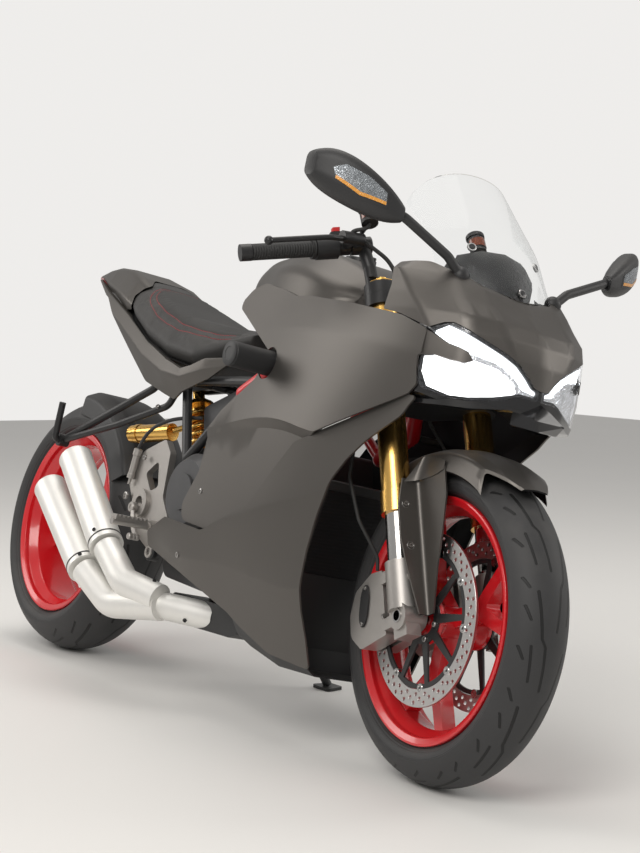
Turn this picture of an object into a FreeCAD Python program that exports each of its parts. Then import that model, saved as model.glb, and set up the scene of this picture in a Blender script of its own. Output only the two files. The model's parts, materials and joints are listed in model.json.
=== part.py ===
import FreeCAD, Part
import math
import os
from FreeCAD import Matrix, Placement, Rotation, Vector

# Sport bike with a full fairing, leaning on its side stand.
# It is drawn upright in its own frame: X forward from the rear axle, Y to the left,
# Z up from the ground below the rear axle, in millimetres. Each piece is then leaned
# over until both tyres and the stand's foot meet the floor.

# Chassis geometry
WHEELBASE = 1478.0
RAKE = 24.0
TRAIL = 91.0
LEAN = 12.0
STEER_AT_REST = -5.0
STEER_LOCK = 24.0

# Wheels and tyres
FRONT_TYRE_RADIUS = 300.0
FRONT_TYRE_WIDTH = 120.0
FRONT_CROWN_DROP = 42.0
FRONT_RIM_WIDTH = 89.0
REAR_TYRE_RADIUS = 315.0
REAR_TYRE_WIDTH = 180.0
REAR_CROWN_DROP = 53.0
REAR_RIM_WIDTH = 140.0
RIM_FLANGE_RADIUS = 229.5
BEAD_SEAT_RADIUS = 217.0
DROP_CENTRE_RADIUS = 201.0
RIM_WALL = 4.5
TYRE_WALL = 9.0
FLANGE_LIP = 8.0
RIM_GAP = 0.15

# Brakes and sprocket
FRONT_DISC_RADIUS = 160.0
DISC_BAND = 33.0
DISC_THICKNESS = 5.0
FRONT_DISC_Y = 62.0
REAR_DISC_RADIUS = 122.5
REAR_DISC_Y = 74.0
SPROCKET_Y = 104.0
SPROCKET_TEETH = 43
FRONT_SPROCKET_TEETH = 15
CHAIN_PITCH = 15.875
CHAIN_PLATE_HALF = 7.0

# Fork
FORK_SPACING = 206.0
FORK_TUBE_RADIUS = 28.0
STANCHION_RADIUS = 24.0
FORK_TOP = 985.0
FORK_TUBE_END = 522.0
FORK_LEG_OFFSET = 34.0
FRONT_AXLE_RADIUS = 12.5
FRONT_AXLE_BORE = 9.5
REAR_AXLE_BORE = 15.0
BEARING_GAP = 0.05
SEAT_GAP = 0.3
STEM_RADIUS = 15.0
HEAD_TUBE_RADIUS = 32.0
HEAD_TUBE_LOW = 792.0
HEAD_TUBE_HIGH = 926.0

# Panels and frame tubes
PANEL = 4.0
FRAME_TUBE_RADIUS = 16.0
SUBFRAME_TUBE_RADIUS = 11.0


def vec(x, y, z):
    return Vector(x, y, z)


def mirrored(shape):
    """The same piece on the other side of the bike."""
    return shape.mirror(vec(0, 0, 0), vec(0, 1, 0))


def both_sides(shape):
    return Part.Compound([shape, mirrored(shape)])


def rod(start, end, radius):
    return Part.makeCylinder(radius, (end - start).Length, start, end - start)


def tube(start, end, outer, inner):
    return rod(start, end, outer).cut(rod(start, end, inner))


def fuse_all(shapes):
    joined = shapes[0]
    if len(shapes) > 1:
        joined = joined.multiFuse(shapes[1:])
    return joined.removeSplitter()


def rounded_edges(points, radii, closed=True):
    """Straight runs joined by tangent arcs. A corner with no radius stays sharp.
    A corner that is almost straight still gets its own short edge, so that all sections match."""
    count = len(points)
    radius_at = list(radii) if isinstance(radii, (list, tuple)) else [radii] * count
    corners = []
    for i, p in enumerate(points):
        if radius_at[i] <= 0 or (not closed and i in (0, count - 1)):
            corners.append([p])
            continue
        back, on = points[i - 1] - p, points[(i + 1) % count] - p
        room = 0.45 * min(back.Length, on.Length)
        back.normalize()
        on.normalize()
        half = back.getAngle(on) / 2
        reach = min(radius_at[i] / max(math.tan(half), 1e-6), room)
        if half > math.radians(88.5):
            short = min(room, 2.0)
            corners.append([p + back * short, p + on * short])
            continue
        radius = reach * math.tan(half)
        inward = back + on
        inward.normalize()
        centre = p + inward * (radius / math.sin(half))
        corners.append([p + back * reach, centre - inward * radius, p + on * reach])
    edges = []
    for i, corner in enumerate(corners):
        if len(corner) == 3:
            edges.append(Part.Arc(*corner).toShape())
        elif len(corner) == 2:
            edges.append(Part.LineSegment(*corner).toShape())
        if closed or i < count - 1:
            start, end = corner[-1], corners[(i + 1) % count][0]
            if start.distanceToPoint(end) > 1e-6:
                edges.append(Part.LineSegment(start, end).toShape())
    return edges


def rounded_wire(points, radii=0, closed=True):
    return Part.Wire(rounded_edges(points, radii, closed))


def side_plate(outline, y_from, y_to, radii=0):
    """An outline in the side view, (x, z) points, given a width across the bike."""
    wire = rounded_wire([vec(x, y_from, z) for x, z in outline], radii)
    return Part.Face(wire).extrude(vec(0, y_to - y_from, 0))


def flat_plate(outline, z_from, z_to, radii=0):
    """An outline in the top view, (x, y) points, given a height."""
    wire = rounded_wire([vec(x, y, z_from) for x, y in outline], radii)
    return Part.Face(wire).extrude(vec(0, 0, z_to - z_from))


def front_plate(outline, x_from, x_to, radii=0):
    """An outline in the front view, (y, z) points, given a depth along the bike."""
    wire = rounded_wire([vec(x_from, y, z) for y, z in outline], radii)
    return Part.Face(wire).extrude(vec(x_to - x_from, 0, 0))


def turned(profile, radii=0):
    """A ring about the Y axis from a closed (radius, y) profile."""
    wire = rounded_wire([vec(r, y, 0) for r, y in profile], radii)
    return Part.Face(wire).revolve(vec(0, 0, 0), vec(0, 1, 0), 360)


def disc_ring(outer, inner, y_from, y_to):
    return turned([(inner, y_from), (outer, y_from), (outer, y_to), (inner, y_to)])


def pipe(points, radius, bend):
    """A round bar along straight runs and tangent arcs."""
    path = rounded_wire(points, bend, closed=False)
    direction = points[1] - points[0]
    circle = Part.Wire(Part.Circle(points[0], direction, radius).toShape())
    return path.makePipeShell([circle], True, True)


def loft(wires, ruled=False):
    return Part.makeLoft(wires, True, ruled)


def spun(shape, angle, axis=vec(0, 1, 0), at=vec(0, 0, 0)):
    copy = shape.copy()
    copy.rotate(at, axis, angle)
    return copy


def moved(shape, x=0, y=0, z=0):
    copy = shape.copy()
    copy.translate(vec(x, y, z))
    return copy


def as_solids(shape):
    """Keeps only the solids of a shape, so that each file holds closed solids."""
    solids = [s for s in shape.Solids if s.Volume > 1.0]
    return solids[0] if len(solids) == 1 else Part.Compound(solids)


def largest(shape):
    """The biggest solid of a shape that a cut has split."""
    return max(shape.Solids, key=lambda s: s.Volume)


def cut_by(shape, *others):
    for other in others:
        shape = shape.cut(other)
    return shape


# Fork frame: origin where the steering axis meets the ground, Z up the axis, X forward.
AXIS_AT_GROUND = vec(WHEELBASE + TRAIL, 0, 0)
FORK_PLACE = Placement(AXIS_AT_GROUND, Rotation(vec(0, 1, 0), -RAKE))
STEER_PLACE = Placement(vec(0, 0, 0), Rotation(vec(0, 0, 1), STEER_AT_REST))
AXLE_IN_FORK = FORK_PLACE.inverse().multVec(vec(WHEELBASE, 0, FRONT_TYRE_RADIUS))
LEG_X = FORK_LEG_OFFSET
LEG_Y = FORK_SPACING / 2


def in_frame(shape):
    """Turns a piece drawn in the fork frame to straight ahead in the bike's frame."""
    copy = shape.copy()
    copy.Placement = FORK_PLACE.multiply(copy.Placement)
    return copy


def steered(shape):
    """Turns a piece drawn in the fork frame to the angle at which the bike is parked."""
    copy = shape.copy()
    copy.Placement = FORK_PLACE.multiply(STEER_PLACE).multiply(copy.Placement)
    return copy


def crown_radius(width, drop):
    return ((width / 2) ** 2 + drop**2) / (2 * drop)


def parked_placement():
    """Leans the bike and turns it nose up or down until both tyres touch the floor."""
    wheels = [
        (vec(0, 0, REAR_TYRE_RADIUS), vec(0, 1, 0), REAR_TYRE_RADIUS, crown_radius(REAR_TYRE_WIDTH, REAR_CROWN_DROP)),
        (FORK_PLACE.multiply(STEER_PLACE).multVec(AXLE_IN_FORK),
         FORK_PLACE.multiply(STEER_PLACE).Rotation.multVec(vec(0, 1, 0)),
         FRONT_TYRE_RADIUS, crown_radius(FRONT_TYRE_WIDTH, FRONT_CROWN_DROP)),
    ]
    pitch = 0.0
    for _ in range(8):
        turn = Rotation(vec(0, 1, 0), pitch).multiply(Rotation(vec(1, 0, 0), -LEAN))
        lows = []
        for centre, axle, radius, crown in wheels:
            tilt = turn.multVec(axle).z
            lows.append(turn.multVec(centre).z - (radius - crown) * math.sqrt(1 - tilt**2) - crown)
        pitch += math.degrees((lows[1] - lows[0]) / WHEELBASE)
    return Placement(vec(0, 0, -lows[0]), turn)


PARKED = parked_placement()


# Tyres and wheels


def tyre(radius, width, drop, rim_width):
    """A hollow tyre: crown arc, sidewalls and beads that sit on the rim's seats."""
    half, bead = width / 2, rim_width / 2 - RIM_GAP
    foot = BEAD_SEAT_RADIUS + RIM_GAP
    flange = RIM_FLANGE_RADIUS + 2.0

    def arc(a, b, c):
        return Part.Arc(vec(a[0], a[1], 0), vec(b[0], b[1], 0), vec(c[0], c[1], 0)).toShape()

    def line(a, b):
        return Part.LineSegment(vec(a[0], a[1], 0), vec(b[0], b[1], 0)).toShape()

    edge = radius - drop
    wall = TYRE_WALL
    shoulder = (edge, half)
    flank = (flange + (edge - flange) * 0.45, half - 1.0 + (rim_width / 2 + 4 - half) * 0.12)
    heel = (flange, rim_width / 2 + 1.5)
    seat_out, seat_in = (foot, bead), (foot, bead - 11.0)
    inner_heel = (flange + 2, bead - 11.0)
    inner_edge = (edge - 2, half - wall)
    outer = [
        arc((edge, -half), (radius, 0), (edge, half)),
        arc(shoulder, flank, heel),
        line(heel, (flange, bead)),
        line((flange, bead), seat_out),
        line(seat_out, seat_in),
        line(seat_in, inner_heel),
        line(inner_heel, inner_edge),
        arc(inner_edge, (radius - wall, 0), (inner_edge[0], -inner_edge[1])),
        line((inner_edge[0], -inner_edge[1]), (inner_heel[0], -inner_heel[1])),
        line((inner_heel[0], -inner_heel[1]), (seat_in[0], -seat_in[1])),
        line((seat_in[0], -seat_in[1]), (seat_out[0], -seat_out[1])),
        line((seat_out[0], -seat_out[1]), (flange, -bead)),
        line((flange, -bead), (heel[0], -heel[1])),
        arc((heel[0], -heel[1]), (flank[0], -flank[1]), (shoulder[0], -shoulder[1])),
    ]
    profile = Part.Wire(Part.__sortEdges__(outer))
    return Part.Face(profile).revolve(vec(0, 0, 0), vec(0, 1, 0), 360)


def rim_barrel(rim_width):
    """The rolled rim: two flanges, bead seats and a drop centre."""
    half = rim_width / 2
    lip = half + FLANGE_LIP
    outer = [
        (RIM_FLANGE_RADIUS, lip),
        (RIM_FLANGE_RADIUS, half),
        (BEAD_SEAT_RADIUS, half),
        (BEAD_SEAT_RADIUS, half - 16),
        (DROP_CENTRE_RADIUS, half - 30),
    ]
    inner_radius = DROP_CENTRE_RADIUS - RIM_WALL
    inner = [
        (inner_radius, half - 28),
        (BEAD_SEAT_RADIUS - RIM_WALL, half - 8),
        (BEAD_SEAT_RADIUS - RIM_WALL, lip - 5),
        (RIM_FLANGE_RADIUS - 5, lip),
    ]
    profile = outer + [(r, -y) for r, y in reversed(outer)]
    profile += [(r, -y) for r, y in reversed(inner)] + inner
    rounding = [3, 0, 0, 3, 6] + [6, 3, 0, 0, 3] + [3, 4, 6, 8] + [8, 6, 4, 3]
    return turned(profile, rounding)


def spoke(root_half, neck, crotch, spread, y_low, y_high):
    """One Y-shaped spoke lying along +X: a stem at the hub that parts into two branches."""
    tip = DROP_CENTRE_RADIUS - RIM_WALL / 2
    tip_x = tip * math.cos(math.radians(spread))
    tip_z = tip * math.sin(math.radians(spread))
    half_branch = 11.0
    outline = [
        (24, root_half),
        (neck, root_half - 3),
        (tip_x - half_branch * 0.5, tip_z + half_branch),
        (tip_x + half_branch * 0.5, tip_z - half_branch),
        (crotch, 0),
        (tip_x + half_branch * 0.5, -tip_z + half_branch),
        (tip_x - half_branch * 0.5, -tip_z - half_branch),
        (neck, -root_half + 3),
        (24, -root_half),
    ]
    return side_plate(outline, y_low, y_high, [0, 30, 0, 0, 9, 0, 0, 30, 0])


def front_rim():
    hub_half = FRONT_DISC_Y - DISC_THICKNESS / 2 - SEAT_GAP
    hub = turned(
        [
            (FRONT_AXLE_RADIUS + BEARING_GAP, -hub_half),
            (46, -hub_half),
            (46, -hub_half + 8),
            (30, -hub_half + 24),
            (30, hub_half - 24),
            (46, hub_half - 8),
            (46, hub_half),
            (FRONT_AXLE_RADIUS + BEARING_GAP, hub_half),
        ],
        [0, 2, 3, 8, 8, 3, 2, 0],
    )
    spokes = [spun(spoke(17, 92, 118, 19, -15, 15), 120 * k + 3) for k in range(3)]
    return fuse_all([rim_barrel(FRONT_RIM_WIDTH), hub] + spokes)


HOUSING_START = 120.0
HOUSING_END = 184.0
REAR_HUB_RIGHT = -8.0
REAR_HUB_LEFT = 62.0


def rear_rim():
    """The rear wheel bolts to a hub on its left and is open on its right."""
    hub = turned(
        [
            (28, REAR_HUB_RIGHT),
            (58, REAR_HUB_RIGHT),
            (62, REAR_HUB_RIGHT + 14),
            (62, REAR_HUB_LEFT),
            (28, REAR_HUB_LEFT),
        ],
        [3, 6, 6, 2, 2],
    )
    spokes = [spun(spoke(24, 96, 120, 18, 2, 38), 120 * k - 62) for k in range(3)]
    wheel = fuse_all([rim_barrel(REAR_RIM_WIDTH), hub] + spokes)
    return wheel.cut(rod(vec(0, -100, 0), vec(0, 100, 0), 28))


def at_front_axle(shape):
    return moved(shape, AXLE_IN_FORK.x, 0, AXLE_IN_FORK.z)


def at_rear_axle(shape):
    return moved(shape, 0, 0, REAR_TYRE_RADIUS)


def disc_band(radius, y):
    """The steel braking band with its drilled rows and inner ears."""
    half = DISC_THICKNESS / 2
    return disc_ring(radius, radius - DISC_BAND, y - half, y + half)


def disc_carrier(radius, y, arms):
    """A cast carrier: hub ring with arms that reach the floating buttons in the band."""
    half = DISC_THICKNESS / 2 - 0.4
    reach = radius - DISC_BAND - SEAT_GAP
    ring = disc_ring(46, 30, y - half, y + half)
    rim = disc_ring(reach, reach - 9, y - half, y + half)
    arm = side_plate(
        [(40, 9), (reach - 5, 5), (reach - 5, -5), (40, -9)], y - half, y + half
    )
    leaning_arm = spun(arm, 14)
    return fuse_all([ring, rim] + [spun(leaning_arm, 360.0 / arms * k) for k in range(arms)])


def front_discs():
    return Part.Compound([at_front_axle(disc_band(FRONT_DISC_RADIUS, s * FRONT_DISC_Y)) for s in (-1, 1)])


def front_disc_carriers():
    pieces = [disc_carrier(FRONT_DISC_RADIUS, s * FRONT_DISC_Y, 9) for s in (-1, 1)]
    return Part.Compound([at_front_axle(p) for p in pieces])


def sprocket_wheel(teeth, y_low, y_high, bore):
    """A chain wheel: one tooth outline repeated round the pitch circle."""
    pitch_radius = CHAIN_PITCH / (2 * math.sin(math.pi / teeth))
    root, tip = pitch_radius - 5.2, pitch_radius + 4.0
    points = []
    for k in range(teeth):
        for share, radius in ((-0.5, root), (-0.2, root + 1.5), (-0.09, tip), (0.09, tip), (0.2, root + 1.5)):
            angle = 2 * math.pi * (k + share) / teeth
            points.append(vec(radius * math.cos(angle), y_low, radius * math.sin(angle)))
    blank = Part.Face(Part.makePolygon(points + [points[0]])).extrude(vec(0, y_high - y_low, 0))
    return blank.cut(rod(vec(0, y_low - 1, 0), vec(0, y_high + 1, 0), bore))


def rear_sprocket():
    y_low, y_high = SPROCKET_Y - 2.9, SPROCKET_Y + 2.9
    blank = sprocket_wheel(SPROCKET_TEETH, y_low, y_high, 34)
    window = side_plate([(58, 13), (88, 19), (88, -19), (58, -13)], y_low - 1, y_high + 1, 6)
    return at_rear_axle(cut_by(blank, *[spun(window, 72 * k) for k in range(5)]))


def rear_disc():
    half = DISC_THICKNESS / 2
    band = disc_ring(REAR_DISC_RADIUS, REAR_DISC_RADIUS - 34, REAR_DISC_Y - half, REAR_DISC_Y + half)
    arm = side_plate([(30, 8), (92, 7), (92, -7), (30, -8)], REAR_DISC_Y - half, REAR_DISC_Y + half)
    ring = disc_ring(44, 34, REAR_DISC_Y - half, REAR_DISC_Y + half)
    return at_rear_axle(fuse_all([band, ring] + [spun(arm, 60 * k) for k in range(6)]).cut(
        rod(vec(0, 0, 0), vec(0, 300, 0), 34)))


def rear_axle():
    """The hub shaft: it carries the wheel on the right and the sprocket and disc on the left."""
    profile = [
        (REAR_AXLE_BORE, -34),
        (27, -34),
        (27, REAR_HUB_RIGHT - SEAT_GAP),
        (27.6, REAR_HUB_RIGHT - SEAT_GAP),
        (27.6, REAR_HUB_LEFT + SEAT_GAP),
        (33.5, REAR_HUB_LEFT + SEAT_GAP),
        (33.5, HOUSING_END),
        (REAR_AXLE_BORE, HOUSING_END),
    ]
    shaft = turned(profile)
    nut = Part.Face(Part.makePolygon([
        vec(34 * math.cos(math.pi / 3 * k), -26, 34 * math.sin(math.pi / 3 * k)) for k in range(7)
    ])).extrude(vec(0, 18, 0))
    nut = nut.cut(rod(vec(0, -40, 0), vec(0, 0, 0), 20))
    return at_rear_axle(fuse_all([shaft, nut]))


# Steering


def fork_tubes():
    leg = tube(vec(LEG_X, LEG_Y, FORK_TUBE_END), vec(LEG_X, LEG_Y, FORK_TOP), FORK_TUBE_RADIUS, STANCHION_RADIUS + 0.2)
    lip = tube(vec(LEG_X, LEG_Y, FORK_TUBE_END - 12), vec(LEG_X, LEG_Y, FORK_TUBE_END + 30),
               FORK_TUBE_RADIUS + 2.5, STANCHION_RADIUS + 0.2)
    cap = rod(vec(LEG_X, LEG_Y, FORK_TOP - 20), vec(LEG_X, LEG_Y, FORK_TOP + 4), FORK_TUBE_RADIUS)
    knob = rod(vec(LEG_X, LEG_Y, FORK_TOP + 4), vec(LEG_X, LEG_Y, FORK_TOP + 16), 11)
    return both_sides(fuse_all([leg, lip, cap, knob]))


STANCHION_LOW = AXLE_IN_FORK.z + 48.0
GUARD_FACE = LEG_X + STANCHION_RADIUS + 14.0


def stanchions():
    leg = rod(vec(LEG_X, LEG_Y, STANCHION_LOW), vec(LEG_X, LEG_Y, FORK_TUBE_END + 90), STANCHION_RADIUS)
    return both_sides(leg)


def fork_feet():
    """Cast feet: a collar on the stanchion, the axle clamp, two radial caliper lugs and the mudguard's bosses."""
    axle_x, axle_z = AXLE_IN_FORK.x, AXLE_IN_FORK.z
    collar = rod(vec(LEG_X, LEG_Y, axle_z + 12), vec(LEG_X, LEG_Y, axle_z + 104), STANCHION_RADIUS + 6)
    clamp = rod(vec(axle_x, LEG_Y - 29, axle_z), vec(axle_x, LEG_Y + 20, axle_z), 26)
    pinch = Part.makeBox(40, 32, 38, vec(axle_x - 20, LEG_Y - 16, axle_z - 40))
    lugs = [Part.makeBox(44, 26, 22, vec(LEG_X - 58.7, LEG_Y - 18, z)) for z in (axle_z - 10, axle_z + 78)]
    boss = rod(vec(LEG_X + 20, LEG_Y, axle_z + 70), vec(GUARD_FACE - SEAT_GAP, LEG_Y, axle_z + 70), 9)
    foot = fuse_all([collar, clamp, pinch, boss] + lugs)
    foot = cut_by(
        foot,
        rod(vec(LEG_X, LEG_Y, STANCHION_LOW), vec(LEG_X, LEG_Y, FORK_TOP), STANCHION_RADIUS + 0.1),
        rod(vec(axle_x, 0, axle_z), vec(axle_x, 300, axle_z), FRONT_AXLE_RADIUS + 0.1),
    )
    return both_sides(as_solids(foot))


AXLE_END = LEG_Y + 22.0


def front_axle():
    x, z = AXLE_IN_FORK.x, AXLE_IN_FORK.z
    inner_end = FRONT_DISC_Y + 3
    shaft = rod(vec(x, -AXLE_END, z), vec(x, AXLE_END, z), FRONT_AXLE_RADIUS)
    spacers = [rod(vec(x, s * inner_end, z), vec(x, s * (LEG_Y - 30.3), z), 19) for s in (-1, 1)]
    whole = fuse_all([shaft] + spacers)
    return whole.cut(rod(vec(x, -AXLE_END - 1, z), vec(x, AXLE_END + 1, z), FRONT_AXLE_BORE))


def front_calipers():
    """Radial calipers that straddle the discs behind the legs and bridge them at their outer edge."""
    x_front, z_mid = LEG_X - 59, AXLE_IN_FORK.z + 45
    outline = [
        (x_front, z_mid - 62), (x_front, z_mid + 62), (x_front - 36, z_mid + 66), (x_front - 92, z_mid + 46),
        (x_front - 116, z_mid + 6), (x_front - 118, z_mid - 36), (x_front - 86, z_mid - 68),
    ]
    body = side_plate(outline, FRONT_DISC_Y - 34, FRONT_DISC_Y + 44, [4, 4, 14, 24, 24, 24, 14])
    centre = AXLE_IN_FORK
    slot = rod(vec(centre.x, FRONT_DISC_Y - 6, centre.z), vec(centre.x, FRONT_DISC_Y + 6, centre.z), FRONT_DISC_RADIUS + 5)
    hub_room = rod(vec(centre.x, 0, centre.z), vec(centre.x, FRONT_DISC_Y - 6, centre.z), 60)
    return both_sides(as_solids(cut_by(body, slot, hub_room)))


def triple_clamps():
    """Bottom yoke with the steering stem, and the top yoke above the frame's head tube."""
    def yoke(low, high, clamp_radius):
        plate = flat_plate(
            [(-26, 30), (LEG_X - 10, LEG_Y + 8), (LEG_X + 22, LEG_Y - 4), (LEG_X + 14, 0),
             (LEG_X + 22, -LEG_Y + 4), (LEG_X - 10, -LEG_Y - 8), (-26, -30)], low, high, [14, 10, 10, 40, 10, 10, 14])
        rings = [rod(vec(LEG_X, s * LEG_Y, low), vec(LEG_X, s * LEG_Y, high), clamp_radius) for s in (-1, 1)]
        holes = [rod(vec(LEG_X, s * LEG_Y, low - 5), vec(LEG_X, s * LEG_Y, high + 5), FORK_TUBE_RADIUS + 0.1)
                 for s in (-1, 1)]
        return cut_by(fuse_all([plate] + rings), *holes)

    bottom = yoke(HEAD_TUBE_LOW - 48, HEAD_TUBE_LOW - 8, FORK_TUBE_RADIUS + 9)
    top = yoke(HEAD_TUBE_HIGH + 8, HEAD_TUBE_HIGH + 32, FORK_TUBE_RADIUS + 8)
    stem = rod(vec(0, 0, HEAD_TUBE_LOW - 48), vec(0, 0, HEAD_TUBE_HIGH + 40), STEM_RADIUS)
    nut = rod(vec(0, 0, HEAD_TUBE_HIGH + 32), vec(0, 0, HEAD_TUBE_HIGH + 44), 20)
    return fuse_all([bottom, top, stem, nut])


BAR_RADIUS = 11.0
BAR_INNER = vec(-4, 112, 1092)
BAR_OUTER = vec(-80, 346, 1057)
GRIP_START = 0.42


def along_bar(share):
    return BAR_INNER + (BAR_OUTER - BAR_INNER) * share


def handlebars():
    """Raised clip-ons: a clamp on each fork tube, an arm, the bar and the weight beyond the grip."""
    clamp = rod(vec(LEG_X, LEG_Y, HEAD_TUBE_HIGH + 32.3), vec(LEG_X, LEG_Y, FORK_TOP - 2), FORK_TUBE_RADIUS + 8)
    arm = pipe([vec(LEG_X - 26, LEG_Y, HEAD_TUBE_HIGH + 44), vec(LEG_X - 34, LEG_Y + 2, 1040), BAR_INNER + vec(0, 4, 0)], 13, 30)
    bar = rod(BAR_INNER, BAR_OUTER, BAR_RADIUS)
    elbow = rod(along_bar(-0.05), along_bar(0.12), BAR_RADIUS + 7)
    weight = rod(along_bar(0.945), along_bar(1.035), 17)
    side = fuse_all([clamp, arm, bar, elbow, weight])
    side = side.cut(rod(vec(LEG_X, LEG_Y, 900), vec(LEG_X, LEG_Y, FORK_TOP + 30), FORK_TUBE_RADIUS + 0.1))
    return both_sides(as_solids(side))


def grips():
    """Rubber grips with an inner flange."""
    grip = tube(along_bar(GRIP_START), along_bar(0.94), 16.5, BAR_RADIUS + 0.1)
    flange = tube(along_bar(GRIP_START), along_bar(GRIP_START + 0.03), 21, BAR_RADIUS + 0.1)
    return both_sides(fuse_all([grip, flange]))


def switchgear():
    block = tube(along_bar(0.235), along_bar(GRIP_START - 0.005), 23, BAR_RADIUS + 0.1)
    return both_sides(block)


LEVER_DIRECTION = vec(1, 0, -0.12)
LEVER_REACH = 72.0
HOSE_RADIUS = 3.5


def control_levers():
    """Brake lever on the right and clutch lever on the left, with their perches and cylinders."""
    perch = tube(along_bar(0.135), along_bar(0.225), 17, BAR_RADIUS + 0.1)
    pivot = along_bar(0.2) + LEVER_DIRECTION * 46
    body = rod(along_bar(0.18) + LEVER_DIRECTION * 8, pivot, 10)
    cylinder = rod(pivot - vec(0, 22, -4), pivot + vec(0, 26, 0), 13)
    knuckle = along_bar(0.46) + LEVER_DIRECTION * LEVER_REACH
    tip = along_bar(0.95) + LEVER_DIRECTION * LEVER_REACH
    blade = pipe([pivot, knuckle, tip], 5.5, 60)
    ball = Part.makeSphere(9, tip)
    side = fuse_all([perch, body, cylinder, blade, ball])
    side = side.cut(rod(along_bar(0), along_bar(1), BAR_RADIUS + 0.1))
    return both_sides(as_solids(side))


def brake_hoses():
    """A hose from each front caliper, out past the leg and up to the bottom yoke."""
    caliper_top = vec(LEG_X - 88, FRONT_DISC_Y + 34, AXLE_IN_FORK.z + 116)
    points = [
        caliper_top,
        caliper_top + vec(6, 2, 26),
        vec(-42, 140, 519),
        vec(-64, 140, 612),
        vec(-78, 112, 700),
        vec(-52, 50, 756),
        vec(-26.5, 36, 757),
    ]
    return both_sides(pipe(points, HOSE_RADIUS, 30))


def fluid_reservoirs():
    base = along_bar(0.09) + vec(62, 0, 20)
    cup = rod(base, base + vec(-6, 0, 34), 17)
    lid = rod(base + vec(-6, 0, 34), base + vec(-7.5, 0, 42), 19)
    bracket = rod(base + vec(0, 0, 3), along_bar(0.10) + vec(19.5, 0, 9), 4)
    return both_sides(fuse_all([cup, lid, bracket]))


def front_fender():
    """Arched mudguard whose sides run into guards that wrap round the front of the fork legs."""
    gap, thick = 13.0, 3.5
    inner = FRONT_TYRE_RADIUS + gap
    half = FRONT_TYRE_WIDTH / 2 + 16
    profile_out = [(inner - 40, -half - 2), (inner - 6, -half + 6), (inner + thick, -half + 32),
                   (inner + thick + 5, 0),
                   (inner + thick, half - 32), (inner - 6, half - 6), (inner - 40, half + 2)]
    profile_in = [(r - thick, y * (1 - thick / half)) for r, y in profile_out]
    section = [vec(r, y, 0) for r, y in profile_out + profile_in[::-1]]
    wire = rounded_wire(section, [0, 12, 24, 60, 24, 12, 0, 0, 10, 21, 57, 21, 10, 0])
    arch = Part.Face(wire).revolve(vec(0, 0, 0), vec(0, 1, 0), 72)
    arch = at_front_axle(spun(arch, -103))
    beyond = flat_plate([(238, 120), (246, 76), (300, 40), (331, 0), (300, -40), (246, -76), (238, -120), (420, -120),
                         (420, 120)], 300, 720, [0, 30, 60, 12, 60, 30, 0, 0, 0])
    leg = rod(vec(LEG_X, LEG_Y, FORK_TUBE_END - 8), vec(LEG_X, LEG_Y, FORK_TOP), FORK_TUBE_RADIUS + 3)
    arch = cut_by(arch, beyond, leg, mirrored(leg))
    levels = [
        # height, front edge x, outer edge y
        (306, 90, 100),
        (388, 113, 119),
        (450, 138, 129),
        (513, 158, 128),
        (566, 160, 116),
    ]
    wires = []
    face, side = GUARD_FACE, half + 4
    for z, front, out in levels:
        points = [vec(front, side, z), vec(face + thick, side, z), vec(face + thick, out, z), vec(face, out, z),
                  vec(face, side - thick, z), vec(front, side - thick, z)]
        wires.append(rounded_wire(points, [0, 9, 1, 1, 12, 0]))
    guard = loft(wires, ruled=True)
    return largest(fuse_all([arch, guard, mirrored(guard)]))


# Chassis: frame, engine and swingarm

ENGINE_HALF = 112.0
CRANK = vec(760, 0, 400)


FRAME_JOINTS = {
    "high_front": vec(1128, 66, 800),
    "high_mid": vec(985, 146, 752),
    "high_rear": vec(838, 150, 668),
    "low_front": vec(1160, 62, 706),
    "low_mid": vec(1062, 140, 646),
    "low_end": vec(958, 146, 590),
}
FRAME_RUNS = [
    # from, to, how much slimmer than the main tubes
    ("high_front", "high_mid", 0),
    ("high_mid", "high_rear", 0),
    ("low_front", "low_mid", 0),
    ("low_mid", "low_end", 0),
    ("high_mid", "low_mid", 4),
    ("high_mid", "low_end", 4),
    ("high_rear", "low_end", 4),
]


def frame_lattice(grow):
    """The left side's tubes and joints, made thicker by grow."""
    tubes = [rod(FRAME_JOINTS[a], FRAME_JOINTS[b], FRAME_TUBE_RADIUS - slim + grow) for a, b, slim in FRAME_RUNS]
    return fuse_all(tubes + [Part.makeSphere(FRAME_TUBE_RADIUS + grow, at) for at in FRAME_JOINTS.values()])


def trellis_frame():
    """Steel lattice from the head tube to the two cylinder heads."""
    head = tube(vec(0, 0, HEAD_TUBE_LOW), vec(0, 0, HEAD_TUBE_HIGH), HEAD_TUBE_RADIUS, STEM_RADIUS + BEARING_GAP)
    head = in_frame(head)
    top, low = in_frame(Part.Vertex(0, 0, HEAD_TUBE_HIGH - 26)).Point, in_frame(Part.Vertex(0, 0, HEAD_TUBE_LOW + 22)).Point
    pieces = [frame_lattice(0)]
    for start, end in [(top, FRAME_JOINTS["high_front"]), (low, FRAME_JOINTS["low_front"])]:
        pieces.append(rod(vec(start.x, 14, start.z), end, FRAME_TUBE_RADIUS))
    pieces.append(rod(vec(SLIDER_BASE.x, 134, SLIDER_BASE.z), SLIDER_BASE, 14))
    side = fuse_all(pieces)
    whole = fuse_all([head, side, mirrored(side)])
    bore = in_frame(rod(vec(0, 0, HEAD_TUBE_LOW - 60), vec(0, 0, HEAD_TUBE_HIGH + 60), STEM_RADIUS + BEARING_GAP))
    return whole.cut(bore)


def crankcase():
    return side_plate(
        [(560, 330), (600, 250), (900, 232), (960, 300), (960, 420), (880, 520), (640, 545), (560, 470)],
        -ENGINE_HALF, ENGINE_HALF, [20, 30, 30, 40, 30, 40, 30, 20])


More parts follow.
